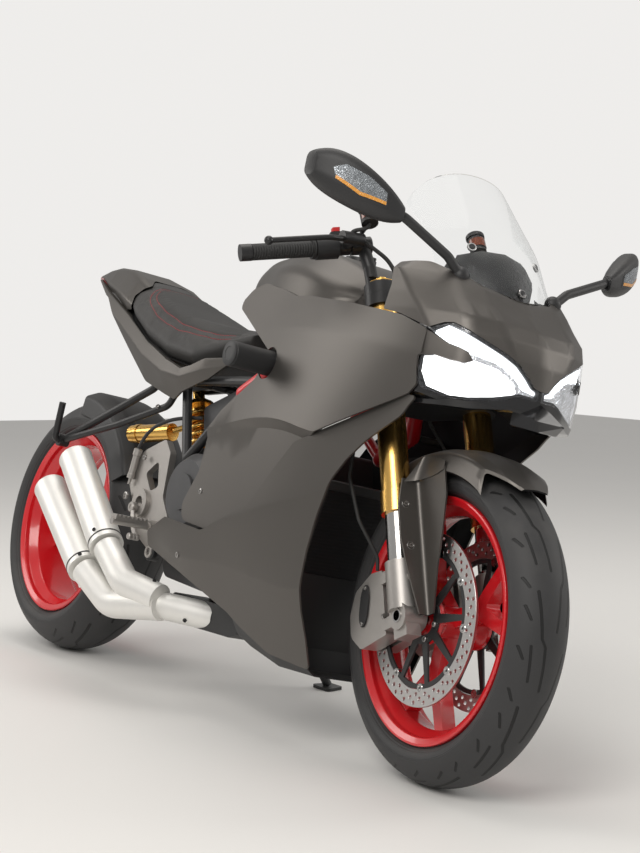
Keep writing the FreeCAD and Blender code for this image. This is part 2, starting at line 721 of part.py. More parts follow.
def engine():
    """Twin-cylinder engine as one block: crankcase, finned front and rear cylinders, heads and the stand's lug."""
    def cylinder(angle, reach, half):
        barrel = Part.makeBox(reach, 2 * half, 150, vec(90, -half, -75))
        fins = [Part.makeBox(5, 2 * half + 14, 164, vec(118 + 15 * k, -half - 7, -82)) for k in range(int((reach - 118) / 15))]
        head = Part.makeBox(92, 2 * half + 26, 176, vec(reach, -half - 13, -88))
        head = head.makeFillet(12, [e for e in head.Edges if abs(e.tangentAt(e.FirstParameter).y) > 0.9])
        both = fuse_all([barrel, head] + fins)
        both.rotate(vec(0, 0, 0), vec(0, 1, 0), -angle)
        return moved(both, CRANK.x, 0, CRANK.z)

    pocket = Part.makeBox(150, 60, 150, vec(545, 86, 335))
    block = fuse_all([crankcase(), cylinder(20, 210, 72), cylinder(110, 190, 72)]).cut(pocket)
    plate = side_plate([(620, 330), (690, 345), (680, 285), (655, 276), (628, 285)], ENGINE_HALF - 6, 128,
                       [12, 12, 14, 14, 14])
    pin = rod(vec(STAND_PIVOT.x, 118, STAND_PIVOT.z), vec(STAND_PIVOT.x, 164, STAND_PIVOT.z), 8)
    return fuse_all([block, plate, pin])


def engine_covers():
    """Clutch cover on the right and alternator cover on the left."""
    def cover(x, z, radius, side, depth):
        y0 = side * (ENGINE_HALF + SEAT_GAP)
        base = rod(vec(x, y0, z), vec(x, y0 + side * depth * 0.6, z), radius)
        face = Part.makeCone(radius, radius - 16, depth * 0.4, vec(x, y0 + side * depth * 0.6, z), vec(0, side, 0))
        boss = rod(vec(x, y0 + side * depth, z), vec(x, y0 + side * (depth + 6), z), radius * 0.45)
        return fuse_all([base, face, boss])

    clutch = cover(700, 440, 88, -1, 52)
    alternator = cover(CRANK.x, CRANK.z, 84, 1, 42)
    return Part.Compound([clutch, alternator])


PIVOT = vec(512, 0, 398)


def swingarm():
    """Single-sided arm: pivot tube, hollow cast beam on the left and the hub housing."""
    pivot = tube(vec(PIVOT.x, -98, PIVOT.z), vec(PIVOT.x, 98, PIVOT.z), 34, 15)
    sections = [
        # x, y inner, y outer, z low, z high
        (520, 60, 128, 366, 428),
        (430, 94, 132, 340, 424),
        (320, 108, 168, 312, 416),
        (220, 119, 180, 286, 408),
        (50, HOUSING_START + 2, HOUSING_END - 2, 268, 388),
    ]
    wires = [
        rounded_wire([vec(x, a, lo), vec(x, b, lo + 14), vec(x, b, hi - 14), vec(x, a, hi)], 14)
        for x, a, b, lo, hi in sections
    ]
    beam = loft(wires)
    cross = side_plate([(458, 360), (545, 360), (545, 436), (458, 436)], -92, 66, 14)
    housing = at_rear_axle(rod(vec(0, HOUSING_START, 0), vec(0, HOUSING_END - 2, 0), 66))
    ears = [side_plate([(490, 420), (530, 420), (555, 480), (536, 498), (514, 488)], SHOCK_LOW.y + s * 15.3,
                       SHOCK_LOW.y + s * 24, 6) for s in (-1, 1)]
    caliper_lug = rod(vec(150, 103.3, 336), vec(150, 130, 336), 11)
    arm = fuse_all([pivot, beam, cross, housing, shock_pin(SHOCK_LOW), caliper_lug] + ears)
    return cut_by(
        arm,
        rod(vec(PIVOT.x, -200, PIVOT.z), vec(PIVOT.x, 200, PIVOT.z), 15),
        at_rear_axle(rod(vec(0, 100, 0), vec(0, 300, 0), 33.5 + BEARING_GAP)),
    )


def rear_caliper():
    """Small caliper over the rear disc, bolted to the swingarm's lug."""
    body = side_plate([(78, 300), (96, 356), (150, 366), (166, 340), (160, 306), (120, 292)], REAR_DISC_Y - 26,
                      REAR_DISC_Y + 20, [8, 12, 12, 10, 10, 10])
    slot = at_rear_axle(rod(vec(0, REAR_DISC_Y - 6, 0), vec(0, REAR_DISC_Y + 6, 0), REAR_DISC_RADIUS + 5))
    foot = rod(vec(150, REAR_DISC_Y + 19, 336), vec(150, 103, 336), 11)
    return largest(fuse_all([body, foot]).cut(slot))


def swingarm_pivot_shaft():
    shaft = tube(vec(PIVOT.x, -150, PIVOT.z), vec(PIVOT.x, 150, PIVOT.z), 14.8, 9)
    return shaft


SHOCK_LOW = vec(536, -20, 478)
SHOCK_TOP = vec(424, -20, 690)
SHOCK_EYE = 16.0
SHOCK_PIN = 8.0


def shock_pin(at):
    """A bolt through one of the shock's eyes, which its carrier holds at both ends."""
    return rod(at - vec(0, 24, 0), at + vec(0, 24, 0), SHOCK_PIN - 0.1)


def shock_absorber():
    """Damper body and shaft with spring seats, and its remote reservoir on a short arm."""
    length = (SHOCK_TOP - SHOCK_LOW).Length
    direction = (SHOCK_TOP - SHOCK_LOW) * (1 / length)
    body = rod(SHOCK_LOW + direction * (length * 0.5), SHOCK_LOW + direction * (length * 0.83), 22)
    cap = rod(SHOCK_LOW + direction * (length * 0.8), SHOCK_TOP, 14)
    shaft = rod(SHOCK_LOW, SHOCK_LOW + direction * (length * 0.6), 8)
    seats = [rod(SHOCK_LOW + direction * (length * s), SHOCK_LOW + direction * (length * s + 8), 34) for s in (0.15, 0.76)]
    eyes = [rod(p - vec(0, 15, 0), p + vec(0, 15, 0), SHOCK_EYE) for p in (SHOCK_LOW, SHOCK_TOP)]
    start, end = vec(300, -95, 552), vec(424, -62, 572)
    along = end - start
    reservoir = fuse_all([rod(start, end, 21), rod(start + along * 0.12, start + along * 0.2, 23)])
    arm = rod(end - along * 0.12, SHOCK_LOW + direction * (length * 0.6), 7)
    whole = fuse_all([body, cap, shaft, reservoir, arm] + seats + eyes)
    return cut_by(whole, *[rod(p - vec(0, 30, 0), p + vec(0, 30, 0), SHOCK_PIN) for p in (SHOCK_LOW, SHOCK_TOP)])


def bracket_side():
    """Footrest plate: pivot boss, peg lug and an upper mount, in the side view."""
    outline = [
        (452, 500), (486, 520), (560, 548), (590, 520), (596, 420), (640, 372), (630, 318), (585, 296),
        (505, 330), (470, 392), (430, 440),
    ]
    plate = side_plate(outline, 136, 152, [10, 14, 12, 12, 20, 16, 12, 14, 20, 24, 10])
    window = side_plate([(500, 465), (548, 498), (566, 440), (536, 428)], 130, 160, 8)
    boss = rod(vec(PIVOT.x, 150.5, PIVOT.z), vec(PIVOT.x, 162, PIVOT.z), 32)
    hole = rod(vec(PIVOT.x, 100, PIVOT.z), vec(PIVOT.x, 200, PIVOT.z), 15)
    return cut_by(fuse_all([plate, boss]), window, hole)


def footrest_plates():
    return both_sides(bracket_side())


def footrests():
    """Rider pegs with a toothed tread, one lug each."""
    root, tip = vec(598, 153, 352), vec(590, 262, 350)
    peg = rod(root, tip, 9)
    tread = [
        Part.makeBox(3, 8, 24, root + (tip - root) * (0.3 + 0.1 * k) - vec(1.5, 4, 12)) for k in range(7)
    ]
    deck = Part.makeBox(22, 80, 7, vec(582, 180, 353))
    teeth = [Part.makeBox(22, 5, 5, vec(582, 181 + 10.5 * k, 360)) for k in range(8)]
    hanger = rod(root, root + vec(0, 22, 0), 14)
    return both_sides(fuse_all([peg, deck, hanger] + teeth))


SUBFRAME_JOINTS = {"front": (800, 108, 700), "mid": (520, 106, 690), "rear": (270, 74, 762), "low": (628, 130, 512)}


def subframe():
    """Rear steel lattice that carries the seat, the tail and the shock's top, with struts down to the engine."""
    at = {name: vec(*place) for name, place in SUBFRAME_JOINTS.items()}
    runs = [("front", "mid"), ("mid", "rear"), ("mid", "low"), ("low", "front")]
    pieces = [rod(at[a], at[b], SUBFRAME_TUBE_RADIUS) for a, b in runs]
    pieces += [Part.makeSphere(SUBFRAME_TUBE_RADIUS, at[n]) for n in at]
    side = fuse_all(pieces)
    across = [rod(vec(at[n].x, -at[n].y, at[n].z), vec(at[n].x, at[n].y, at[n].z), 9) for n in ("mid", "rear")]
    top = SHOCK_TOP
    ears = [side_plate([(top.x - 14, top.z - 16), (top.x + 14, top.z - 16), (540, 684), (520, 700), (top.x, top.z + 18)],
                       top.y + s * 15.3, top.y + s * 24, 6) for s in (-1, 1)]
    return fuse_all([side, mirrored(side), shock_pin(top)] + across + ears)


def subframe_tube_room():
    """The subframe's upper tubes, grown by the seating gap."""
    at = {name: vec(*place) for name, place in SUBFRAME_JOINTS.items()}
    grown = SUBFRAME_TUBE_RADIUS + SEAT_GAP
    side = fuse_all([rod(at["front"], at["mid"], grown), rod(at["mid"], at["rear"], grown), Part.makeSphere(grown, at["mid"])])
    return fuse_all([side, mirrored(side)])


def passenger_hangers():
    """Splayed arms from the subframe to a boss on each side, with the folded passenger peg."""
    boss = vec(149, 198, 506)
    upper = pipe([vec(392, 93, 732), vec(398, 112, 668), boss], 9, 30)
    lower = pipe([vec(505, 106, 694), vec(478, 118, 626), vec(340, 160, 566), boss], 8, 30)
    hub = rod(boss - vec(0, 12, 0), boss + vec(0, 12, 0), 15)
    peg = pipe([boss, boss + vec(0, 22, 0), boss + vec(16, 28, 88)], 8, 12)
    whole = fuse_all([upper, lower, hub, peg])
    return both_sides(largest(whole.cut(subframe_tube_room())))


# Exhaust


CAN_RADIUS = 39.0
COLLECTOR_START = vec(668, -164, 191)
COLLECTOR_MOUTH = vec(800, -80, 191)
CANS = ((vec(500, -212, 288), vec(240, -200, 468)), (vec(452, -228, 228), vec(176, -216, 388)))


def silencers():
    """Two stacked silencers on the right and the bright pipes that join them to the collector."""
    cans = [rod(low, high, CAN_RADIUS) for low, high in CANS]
    mouths = []
    for low, high in CANS:
        direction = (high - low) * (1 / (high - low).Length)
        mouths.append(rod(high - direction * 70, high + direction * 1, 34))
    upper = pipe([vec(504, -212, 285.2), vec(600, -205, 222), vec(700, -168, 205)], 32, 60)
    lower = pipe([vec(455, -228, 225), vec(560, -205, 168), vec(700, -160, 190)], 32, 60)
    neck = rod(COLLECTOR_START, COLLECTOR_MOUTH, 30)
    return cut_by(fuse_all(cans + [upper, lower, neck]), *mouths)


def exhaust_collector():
    """Black silencer box under the engine, hung from the crankcase."""
    box = side_plate([(640, 222), (920, 222), (930, 176), (900, 162), (690, 160), (640, 182)], -104, 104,
                     [14, 14, 14, 14, 14, 14])
    hangers = [Part.makeBox(22, 90, 60, vec(x, -45, 205)) for x in (700, 860)]
    mouth = rod(COLLECTOR_START, COLLECTOR_MOUTH, 30 + SEAT_GAP)
    return cut_by(fuse_all([box] + hangers), crankcase(), mouth)


# Bodywork


def panel_section(x, rows, rounding, thickness, outset):
    """A thin closed section at one station: the outer line and the same line moved inwards."""
    outer = [vec(x, y + outset, z) for y, z in rows]
    inner = [vec(x, y + outset - thickness, z) for y, z in reversed(rows)]
    radii = list(rounding)
    return rounded_wire(outer + inner, radii + radii[::-1])


def panel(stations, rounding, thickness=PANEL, outset=0.0):
    """A curved sheet lofted through sections across the bike, on the left side."""
    wires = []
    for x, *numbers in stations:
        rows = list(zip(numbers[0::2], numbers[1::2]))
        wires.append(panel_section(x, rows, rounding, thickness, outset))
    return loft(wires)


# Half widths and heights of the upper side panel at each station along the bike.
UPPER_SIDE = [
    # x, top y, z, shoulder y, z, crease y, z, inset y, z, low y, z
    (700, 138, 905, 160, 780, 190, 572, 186, 556, 200, 340),
    (850, 148, 935, 174, 795, 204, 588, 196, 570, 202, 340),
    (1000, 158, 935, 190, 805, 218, 612, 204, 594, 200, 350),
    (1130, 170, 920, 204, 800, 224, 612, 204, 592, 196, 400),
    (1260, 186, 905, 208, 790, 218, 600, 200, 582, 186, 480),
    (1380, 190, 885, 203, 780, 190, 640, 184, 626, 172, 560),
    (1480, 180, 860, 184, 770, 174, 690, 170, 676, 160, 620),
]
UPPER_ROUNDING = [0, 90, 0, 0, 0]
UPPER_OUTLINE = [
    (755, 856), (799, 893), (849, 905), (947, 887), (1000, 874), (1051, 874), (1220, 858), (1392, 837), (1459, 816),
    (1466, 811), (1466, 768), (1458, 763), (1457, 737), (1459, 712), (1441, 694), (1177, 577), (1070, 445),
    (898, 372), (741, 384), (799, 490), (800, 577), (841, 622), (948, 691), (987, 747),
]
UPPER_CORNERS = [20, 40, 40, 40, 30, 30, 200, 100, 3, 3, 3, 3, 20, 10, 10, 60, 60, 20, 60, 40, 30, 20, 20, 20]

# The lower side panel, which laps over the upper one at the seam.
LOWER_SIDE = [
    # x, top y, z, belt y, z, tuck y, z, keel y, z
    (620, 212, 430, 208, 365, 198, 310, 178, 250),
    (760, 220, 450, 216, 372, 204, 310, 168, 225),
    (950, 226, 500, 221, 392, 203, 310, 150, 170),
    (1100, 228, 600, 222, 440, 194, 300, 126, 130),
    (1220, 216, 680, 204, 480, 178, 300, 112, 120),
    (1330, 196, 730, 178, 540, 158, 340, 106, 130),
    (1440, 180, 740, 168, 640, 148, 420, 100, 190),
    (1540, 160, 740, 150, 660, 130, 480, 90, 280),
]
LOWER_ROUNDING = [0, 60, 40, 0]
LOWER_OUTLINE = [
    (732, 381), (889, 369), (1058, 442), (1167, 575), (1423, 693), (1457, 691), (1438, 673), (1421, 653), (1383, 628),
    (1342, 599), (1304, 561), (1271, 515), (1248, 445), (1231, 376), (1222, 318), (1219, 262), (1225, 207), (1227, 151),
    (1103, 160), (1012, 197), (970, 219), (784, 277), (649, 311), (648, 344),
]
LOWER_CORNERS = [20, 60, 60, 30, 0, 4, 60, 60, 90, 90, 90, 90, 120, 120, 120, 120, 60, 12, 60, 60, 60, 60, 10, 10]


SLIDER_BASE = vec(985, 170, 728)
UPPER_LUGS = [
    # frame joint that carries the lug, and how far out the lug reaches
    ("low_mid", 215),
    ("low_end", 200),
]
LOWER_LUG = vec(880, 203, 320)


def fairing_upper():
    """Upper side panels, each with its tongue between the lamps and the lugs that seat it on the frame."""
    sheet = panel(UPPER_SIDE, UPPER_ROUNDING)
    edge = side_plate(UPPER_OUTLINE, 20, 400, UPPER_CORNERS)
    side = largest(sheet.common(edge).cut(rod(SLIDER_BASE, SLIDER_BASE + vec(0, 200, 0), 34)))
    tongue = largest(nose_wall(0, PANEL).common(front_plate(TONGUE_FACE, LENS_START, 1700)))
    frame_room = frame_lattice(SEAT_GAP)
    lugs = []
    for name, reach in UPPER_LUGS:
        at = FRAME_JOINTS[name]
        lugs.append(largest(rod(at, vec(at.x, reach, at.z), 8).cut(frame_room)))
    return both_sides(largest(fuse_all([side, tongue] + lugs)))


def fairing_lower(upper):
    """Lower side panels with the lugs that seat them on the crankcase."""
    sheet = panel(LOWER_SIDE, LOWER_ROUNDING)
    edge = side_plate(LOWER_OUTLINE, 20, 400, LOWER_CORNERS)
    left_upper = max(upper.Solids, key=lambda s: s.CenterOfMass.y)
    side = largest(cut_by(sheet.common(edge), left_upper, moved(left_upper, 0, 0.4, 0)))
    lug = rod(vec(LOWER_LUG.x, ENGINE_HALF, LOWER_LUG.z), LOWER_LUG, 8)
    return both_sides(fuse_all([side, lug]))


# Outline of the nose in the top view at each height, on the left side.
NOSE_LEVELS = [
    # z, side x, y, corner x, y, quarter x, y, middle x, y, centre x
    (668, 1300, 196, 1455, 168, 1526, 142, 1576, 70, 1594),
    (700, 1300, 206, 1464, 174, 1532, 147, 1582, 66, 1598),
    (738, 1300, 211, 1468, 182, 1535, 149, 1583, 62, 1600),
    (785, 1300, 210, 1468, 184, 1536, 145, 1580, 64, 1594),
    (820, 1300, 208, 1465, 184, 1534, 143, 1571, 82, 1581),
    (850, 1300, 206, 1442, 192, 1524, 143, 1552, 88, 1560),
    (880, 1300, 204, 1412, 197, 1492, 142, 1515, 88, 1524),
    (905, 1300, 202, 1390, 198, 1468, 141, 1491, 88, 1498),
    (925, 1300, 198, 1370, 196, 1446, 141, 1467, 88, 1474),
    (948, 1300, 176, 1372, 168, 1414, 146, 1443, 88, 1448),
]
NOSE_FACING = [(0, 1), (0.7, 0.7), (0.8, 0.6), (0.95, 0.3), (1, 0)]


def nose_line(level, inset):
    """Half of the nose's outline at one height, from its left side to the centre, moved inwards."""
    z, *numbers = level
    spots = list(zip(numbers[0:8:2], numbers[1:8:2])) + [(numbers[8], 0)]
    return [vec(x - inset * along, y - inset * across, z) for (x, y), (along, across) in zip(spots, NOSE_FACING)]


def nose_wall(near, far):
    """The wall of the nose between two depths below its surface, over its full height."""
    wires = []
    radii = [0, 40, 60, 60, 90, 60, 60, 40, 0]
    for level in NOSE_LEVELS:
        outer, inner = nose_line(level, near), nose_line(level, far)
        outer += [vec(p.x, -p.y, p.z) for p in reversed(outer[:-1])]
        inner += [vec(p.x, -p.y, p.z) for p in reversed(inner[:-1])]
        wires.append(rounded_wire(outer + inner[::-1], radii + radii[::-1]))
    return loft(wires, ruled=True)




LENS_FACE = [
    (183, 817), (168, 829), (158, 832), (133, 817), (80, 794), (53, 779), (32, 761), (17, 743), (4, 740),
    (4, 722), (41, 723), (84, 708), (125, 698), (150, 696), (171, 707), (179, 718), (183, 737), (185, 764),
    (172, 768), (158, 763), (141, 761), (128, 768), (137, 784), (160, 794),
]
TONGUE_FACE = [
    (186, 765), (172, 769.3), (158, 764.3), (142, 762.3), (129.5, 768.5), (138, 782.6), (160.5, 792.6), (186, 814),
]
POCKET_FACE = [
    (172, 813), (158, 827), (133, 812), (80, 789), (53, 774), (34, 757), (20, 741), (10, 737), (10, 727), (42, 728),
    (84, 713), (125, 703), (148, 701), (168, 712), (178, 737), (179, 764),
]
BUCKET_FACE = [
    (176, 822), (158, 838), (132, 823), (78, 800), (50, 785), (28, 767), (13, 749), (-1, 745), (-1, 712), (42, 716),
    (84, 701), (125, 691), (150, 688), (173, 700), (181, 716), (182, 768),
]
LIP_FACE = [
    (-1, 721), (41, 721.5), (84, 706.5), (125, 696.5), (150, 694.5), (160, 689), (158, 681), (121, 684), (61, 695),
    (39, 694), (22, 686), (-1, 672),
]
COWL_SIDE = [
    (1345, 845), (1353, 894), (1340, 940), (1398, 947), (1450, 930), (1500, 902), (1514, 893), (1700, 893),
    (1700, 690), (1470, 690), (1464, 818), (1392, 838.5),
]
LENS_START = 1459.0


def nose_cowl():
    """Painted cowl from the windscreen's edge down to the lamps."""
    edge = side_plate(COWL_SIDE, -260, 260, [4, 20, 4, 40, 60, 60, 10, 0, 0, 0, 3, 40])
    brow = [(y, z + 0.6) for y, z in LENS_FACE[:9]]
    brow = [(260, brow[0][1])] + brow
    below = brow + [(-y, z) for y, z in reversed(brow)] + [(-260, 640), (260, 640)]
    lamp_room = front_plate(below, 1440, 1750)
    return largest(nose_wall(0, PANEL).common(edge).cut(lamp_room))


def windscreen(cowl):
    """Clear bubble screen, tucked in behind the cowl's upper edge."""
    rows = [
        # y, base x, z, middle x, z, top x, z
        (0, 1508, 886, 1424, 1008, 1296, 1154),
        (60, 1486, 898, 1409, 1008, 1288, 1146),
        (110, 1446, 920, 1372, 1010, 1270, 1116),
        (140, 1404, 936, 1334, 1008, 1266, 1068),
    ]
    rows = [(-y, *rest) for y, *rest in reversed(rows[1:])] + rows
    wires = []
    for y, a, b, c, d, e, f in rows:
        outer = [vec(a, y, b), vec(c + 10, y, d + 8), vec(e, y, f)]
        inner = [vec(e - 3, y, f - 2), vec(c + 7, y, d + 6), vec(a - 3, y, b - 2)]
        wires.append(rounded_wire(outer + inner, [0, 200, 0, 0, 200, 0]))
    return largest(loft(wires).cut(cowl))


def headlamps():
    """Clear lamp covers, flush with the nose: a slim strip above the main lens, with a painted tongue between."""
    cover = nose_wall(0.8, 4).common(front_plate(LENS_FACE, LENS_START, 1750))
    return both_sides(largest(cover))


def lamp_housings():
    """Black lamp bowls behind the covers, joined by the lip below them and the beak in the middle."""
    bowl = nose_wall(PANEL + 0.4, 46).common(front_plate(BUCKET_FACE, 1425, 1750))
    hollow = nose_wall(3, 40).common(front_plate(POCKET_FACE, 1440, 1750))
    lip = nose_wall(-2, 58).common(front_plate(LIP_FACE, 1425, 1750))
    side = fuse_all([largest(bowl.cut(hollow)), largest(lip)])
    sections = [
        # x, ridge z, shoulder y, z, foot y, z
        (1572, 730, 40, 700, 40, 672),
        (1630, 703, 27, 684, 22, 665),
        (1668, 682, 3, 681, 2, 679),
    ]
    wires = []
    for x, ridge, shoulder, high, foot, low in sections:
        wires.append(Part.makePolygon([
            vec(x, 0, ridge), vec(x, shoulder, high), vec(x, foot, low), vec(x, -foot, low), vec(x, -shoulder, high),
            vec(x, 0, ridge)]))
    beak = loft(wires, ruled=True)
    lens_room = nose_wall(-10, 4.4).common(front_plate(LENS_FACE, 1500, 1750))
    beak = beak.cut(fuse_all([lens_room, mirrored(lens_room)]))
    return largest(fuse_all([side, mirrored(side), largest(beak)]))


def dashboard(housings):
    """Instrument case on the stay that runs from the head tube to the lamp housings."""
    case = side_plate([(1300, 890), (1430, 880), (1448, 900), (1400, 940), (1330, 950)], -85, 85, [8, 10, 14, 12, 10])
    stay = in_frame(Part.makeBox(160, 36, 24, vec(HEAD_TUBE_RADIUS - 4, -18, 868)))
    arms = [rod(vec(1384, s * 10, 882), vec(1570, s * 40, 728), 8) for s in (-1, 1)]
    head = in_frame(rod(vec(0, 0, HEAD_TUBE_LOW), vec(0, 0, HEAD_TUBE_HIGH), HEAD_TUBE_RADIUS + SEAT_GAP))
    return largest(cut_by(fuse_all([case, stay] + arms), head, housings))


CAP_CENTRE = vec(950, 0, 984)
CAP_RADIUS = 33.0
CAP_HEIGHT = 10.0
CAP_HINGE = CAP_CENTRE + vec(CAP_RADIUS + 5, 0, CAP_HEIGHT + 1)
NECK_RADIUS = 22.0


def fuel_cap():
    """Filler lid on a front hinge, seated on the ring in the tank's top."""
    lid = rod(CAP_CENTRE + vec(0, 0, SEAT_GAP), CAP_CENTRE + vec(0, 0, CAP_HEIGHT), CAP_RADIUS)
    arm = Part.makeBox(14, 18, 4, CAP_CENTRE + vec(CAP_RADIUS - 8, -9, CAP_HEIGHT - 1))
    knuckle = rod(CAP_HINGE - vec(0, 9, 0), CAP_HINGE + vec(0, 9, 0), 4)
    return fuse_all([lid, arm, knuckle])


def fuel_tank():
    """Closed tank with knee recesses, a bare top and a filler pocket."""
    rows = [
        # x, low z, low half, belt z, belt half, shoulder z, shoulder half, top z, top half
        (1112, 838, 60, 872, 106, 900, 92, 930, 50),
        (1060, 800, 60, 862, 150, 914, 134, 957, 70),
        (960, 778, 55, 850, 164, 936, 148, 988, 84),
        (850, 772, 50, 842, 150, 940, 132, 990, 80),
        (760, 782, 46, 834, 112, 938, 106, 980, 72),
        (700, 808, 44, 838, 90, 922, 88, 962, 58),
        (676, 816, 40, 842, 76, 902, 72, 930, 46),
    ]
    wires = []
    for x, z0, h0, z1, h1, z2, h2, z3, h3 in rows:
        right = [(h0, z0), (h1, z1), (h2, z2), (h3, z3)]
        points = [vec(x, y, z) for y, z in right] + [vec(x, -y, z) for y, z in reversed(right)]
        wires.append(rounded_wire(points, [20, 24, 50, 40, 40, 50, 24, 20]))
    ring = rod(CAP_CENTRE, CAP_CENTRE + vec(0, 0, 40), CAP_RADIUS + 1.5)
    neck = rod(CAP_CENTRE - vec(0, 0, 90), CAP_CENTRE + vec(0, 0, 5), NECK_RADIUS)
    hinge_room = rod(CAP_HINGE - vec(0, 10, 0), CAP_HINGE + vec(0, 10, 0), 6)
    arm_room = Part.makeBox(16, 22, 20, CAP_HINGE - vec(16, 11, 5))
    hollow = cut_by(loft(wires), seat_body(SEAT_ROWS, 30, 1.0), ring, neck, hinge_room, arm_room)
    front, rear = FRAME_JOINTS["high_front"], FRAME_JOINTS["high_mid"]
    lug = rod(front + (rear - front) * 0.2, front + (rear - front) * 0.2 + vec(-12, -14, 62), 10)
    frame_room = rod(front, rear, FRAME_TUBE_RADIUS + SEAT_GAP)
    return largest(cut_by(fuse_all([largest(hollow), lug, mirrored(lug)]), frame_room, mirrored(frame_room)))


SEAT_ROWS = [
    # x, under z, half width, edge z, top z, top half
    (668, 782, 52, 806, 824, 30),
    (620, 752, 92, 782, 822, 56),
    (560, 722, 134, 752, 822, 92),
    (450, 738, 142, 770, 836, 108),
    (330, 778, 136, 808, 872, 106),
    (220, 826, 120, 852, 910, 88),
    (150, 860, 96, 880, 936, 60),
    (112, 880, 66, 900, 938, 34),
]


def seat_body(rows, drop, grow):
    """A ruled loft through the pad's sections, widened by grow and carried down by drop."""
    wires = []
    for x, under, half, edge, top, top_half in rows:
        right = [(half - 16 + grow, under - drop), (half + grow, edge - 6), (half - 6 + grow, edge + 14 + grow),
                 (top_half, top + grow)]
        points = [vec(x, y, z) for y, z in right] + [vec(x, -y, z) for y, z in reversed(right)]
        wires.append(rounded_wire(points, [8, 12, 26, 50, 50, 26, 12, 8]))
    return loft(wires, ruled=True)


def seat():
    """Rider's seat: a dished pad that rises to a rounded back."""
    return as_solids(seat_body(SEAT_ROWS, 0, 0))


SEAT_FEET = [
    # x, y, z on the subframe's tube
    (530, 106, 690),
    (330, 83, 745),
]


def seat_base():
    """Black pan that shows as a band below the pad, with feet on the subframe's tubes."""
    wires = []
    for x, under, half, _, _, _ in SEAT_ROWS:
        right = [(half - 29, under - 16), (half - 11, under - 3), (half - 24, under - SEAT_GAP)]
        points = [vec(x, y, z) for y, z in right] + [vec(x, -y, z) for y, z in reversed(right)]
        wires.append(rounded_wire(points, 0))
    feet = [rod(vec(x, s * y, z), vec(x, s * y, z + 34), 8) for x, y, z in SEAT_FEET for s in (-1, 1)]
    whole = fuse_all([loft(wires, ruled=True)] + feet)
    return largest(cut_by(whole, subframe_tube_room(), seat_body(SEAT_ROWS, 0, SEAT_GAP)))


HUMP_ROWS = [
    # x, low z, half width, belt z, top z, top half
    (240, 800, 104, 838, 900, 84),
    (150, 848, 112, 876, 938, 78),
    (60, 876, 92, 902, 964, 60),
    (-40, 900, 68, 926, 974, 44),
    (-116, 926, 44, 944, 972, 28),
    (-190, 940, 20, 950, 962, 12),
]
TAIL_ROWS = [
    # x, top y, z, mid y, z, low y, z
    (-180, 26, 952, 40, 930, 20, 900),
    (0, 86, 900, 96, 870, 60, 780),
    (170, 112, 843, 122, 812, 86, 700),
    (350, 136, 770, 146, 738, 104, 630),
    (480, 150, 732, 158, 700, 116, 610),
    (570, 158, 712, 160, 690, 122, 610),
    (650, 150, 738, 150, 712, 122, 640),
    (745, 118, 750, 118, 735, 108, 680),
]
TAIL_OUTLINE = [
    (-150, 950), (4, 900), (171, 843), (350, 770), (480, 729), (565, 709), (602, 718), (663, 742), (712, 746),
    (722, 734), (661, 693), (523, 641), (360, 677), (229, 756), (20, 884), (-155, 942),
]


def tail_cowl():
    """Painted tail: the hump behind the seat and the two pointed side panels."""
    wires = []
    for x, low, half, belt, top, top_half in HUMP_ROWS:
        right = [(half - 14, low), (half, belt), (top_half, top)]
        points = [vec(x, y, z) for y, z in right] + [vec(x, -y, z) for y, z in reversed(right)]
        wires.append(rounded_wire(points, [6, 10, 24, 24, 10, 6]))
    below = flat_plate([(100, -200), (300, -200), (300, 200), (100, 200)], 700, 852)
    hump = loft(wires, ruled=True)
    hump = cut_by(hump, seat_body(SEAT_ROWS, 30, 2.0), below)
    wires = []
    for x, *numbers in TAIL_ROWS:
        rows = list(zip(numbers[0::2], numbers[1::2]))
        lip = [(rows[0][0] - 14, rows[0][1] - 1)]
        outer = [vec(x, y, z) for y, z in lip + rows]
        inner = [vec(x, rows[2][0] - 5, rows[2][1]), vec(x, rows[1][0] - 5, rows[1][1] - 2),
                 vec(x, rows[0][0] - 4, rows[0][1] - 5), vec(x, lip[0][0], lip[0][1] - 4)]
        wires.append(rounded_wire(outer + inner, [0, 3, 12, 0, 0, 8, 3, 0]))
    sheet = loft(wires, ruled=True)
    edge = side_plate(TAIL_OUTLINE, 0, 300, [2, 60, 60, 60, 40, 10, 10, 10, 4, 4, 30, 12, 40, 60, 60, 2])
    side = largest(sheet.common(edge).cut(seat_body(SEAT_ROWS, 30, 2.0)).cut(hump))
    lug = rod(vec(420, 94, 719), vec(420, 148, 719), 6)
    side = largest(fuse_all([side, lug]).cut(subframe_tube_room()))
    return largest(hump), both_sides(side)


def inner_panels():
    """Black shroud round the radiator and the tray under the engine."""
    slab = side_plate([(1112, 186), (1124, 186), (1152, 312), (1200, 516), (1188, 519), (1140, 316)], -230, 230)
    outline = [(60, 150), (132, 186), (176, 300), (188, 380), (196, 470), (194, 560)]
    reach = front_plate(outline + [(-y, z) for y, z in reversed(outline)], 1050, 1300)
    half, low, high = 137.3, 330.7, 499.3
    window = front_plate([(half, low), (half, high), (-half, high), (-half, low)], 1050, 1300)
    shroud = slab.common(reach).cut(window)
    tray = [
        # x, half width, top z, floor z
        (978, 160, 214, 176),
        (1015, 150, 195, 160),
        (1103, 134, 161, 138),
        (1205, 118, 156, 138),
    ]
    wires = []
    for x, half, top, low in tray:
        right = [vec(x, half, top), vec(x, half - 26, low)]
        inside = [vec(x, half - 28, low + 4), vec(x, half - 4, top)]
        section = right + [vec(p.x, -p.y, p.z) for p in reversed(right)]
        section += [vec(p.x, -p.y, p.z) for p in reversed(inside)] + inside
        wires.append(rounded_wire(section, [0, 16, 16, 0, 0, 14, 14, 0]))
    post = Part.makeBox(10, 120, 60, vec(1113, -60, 141))
    return fuse_all([shroud, loft(wires, ruled=True), post])


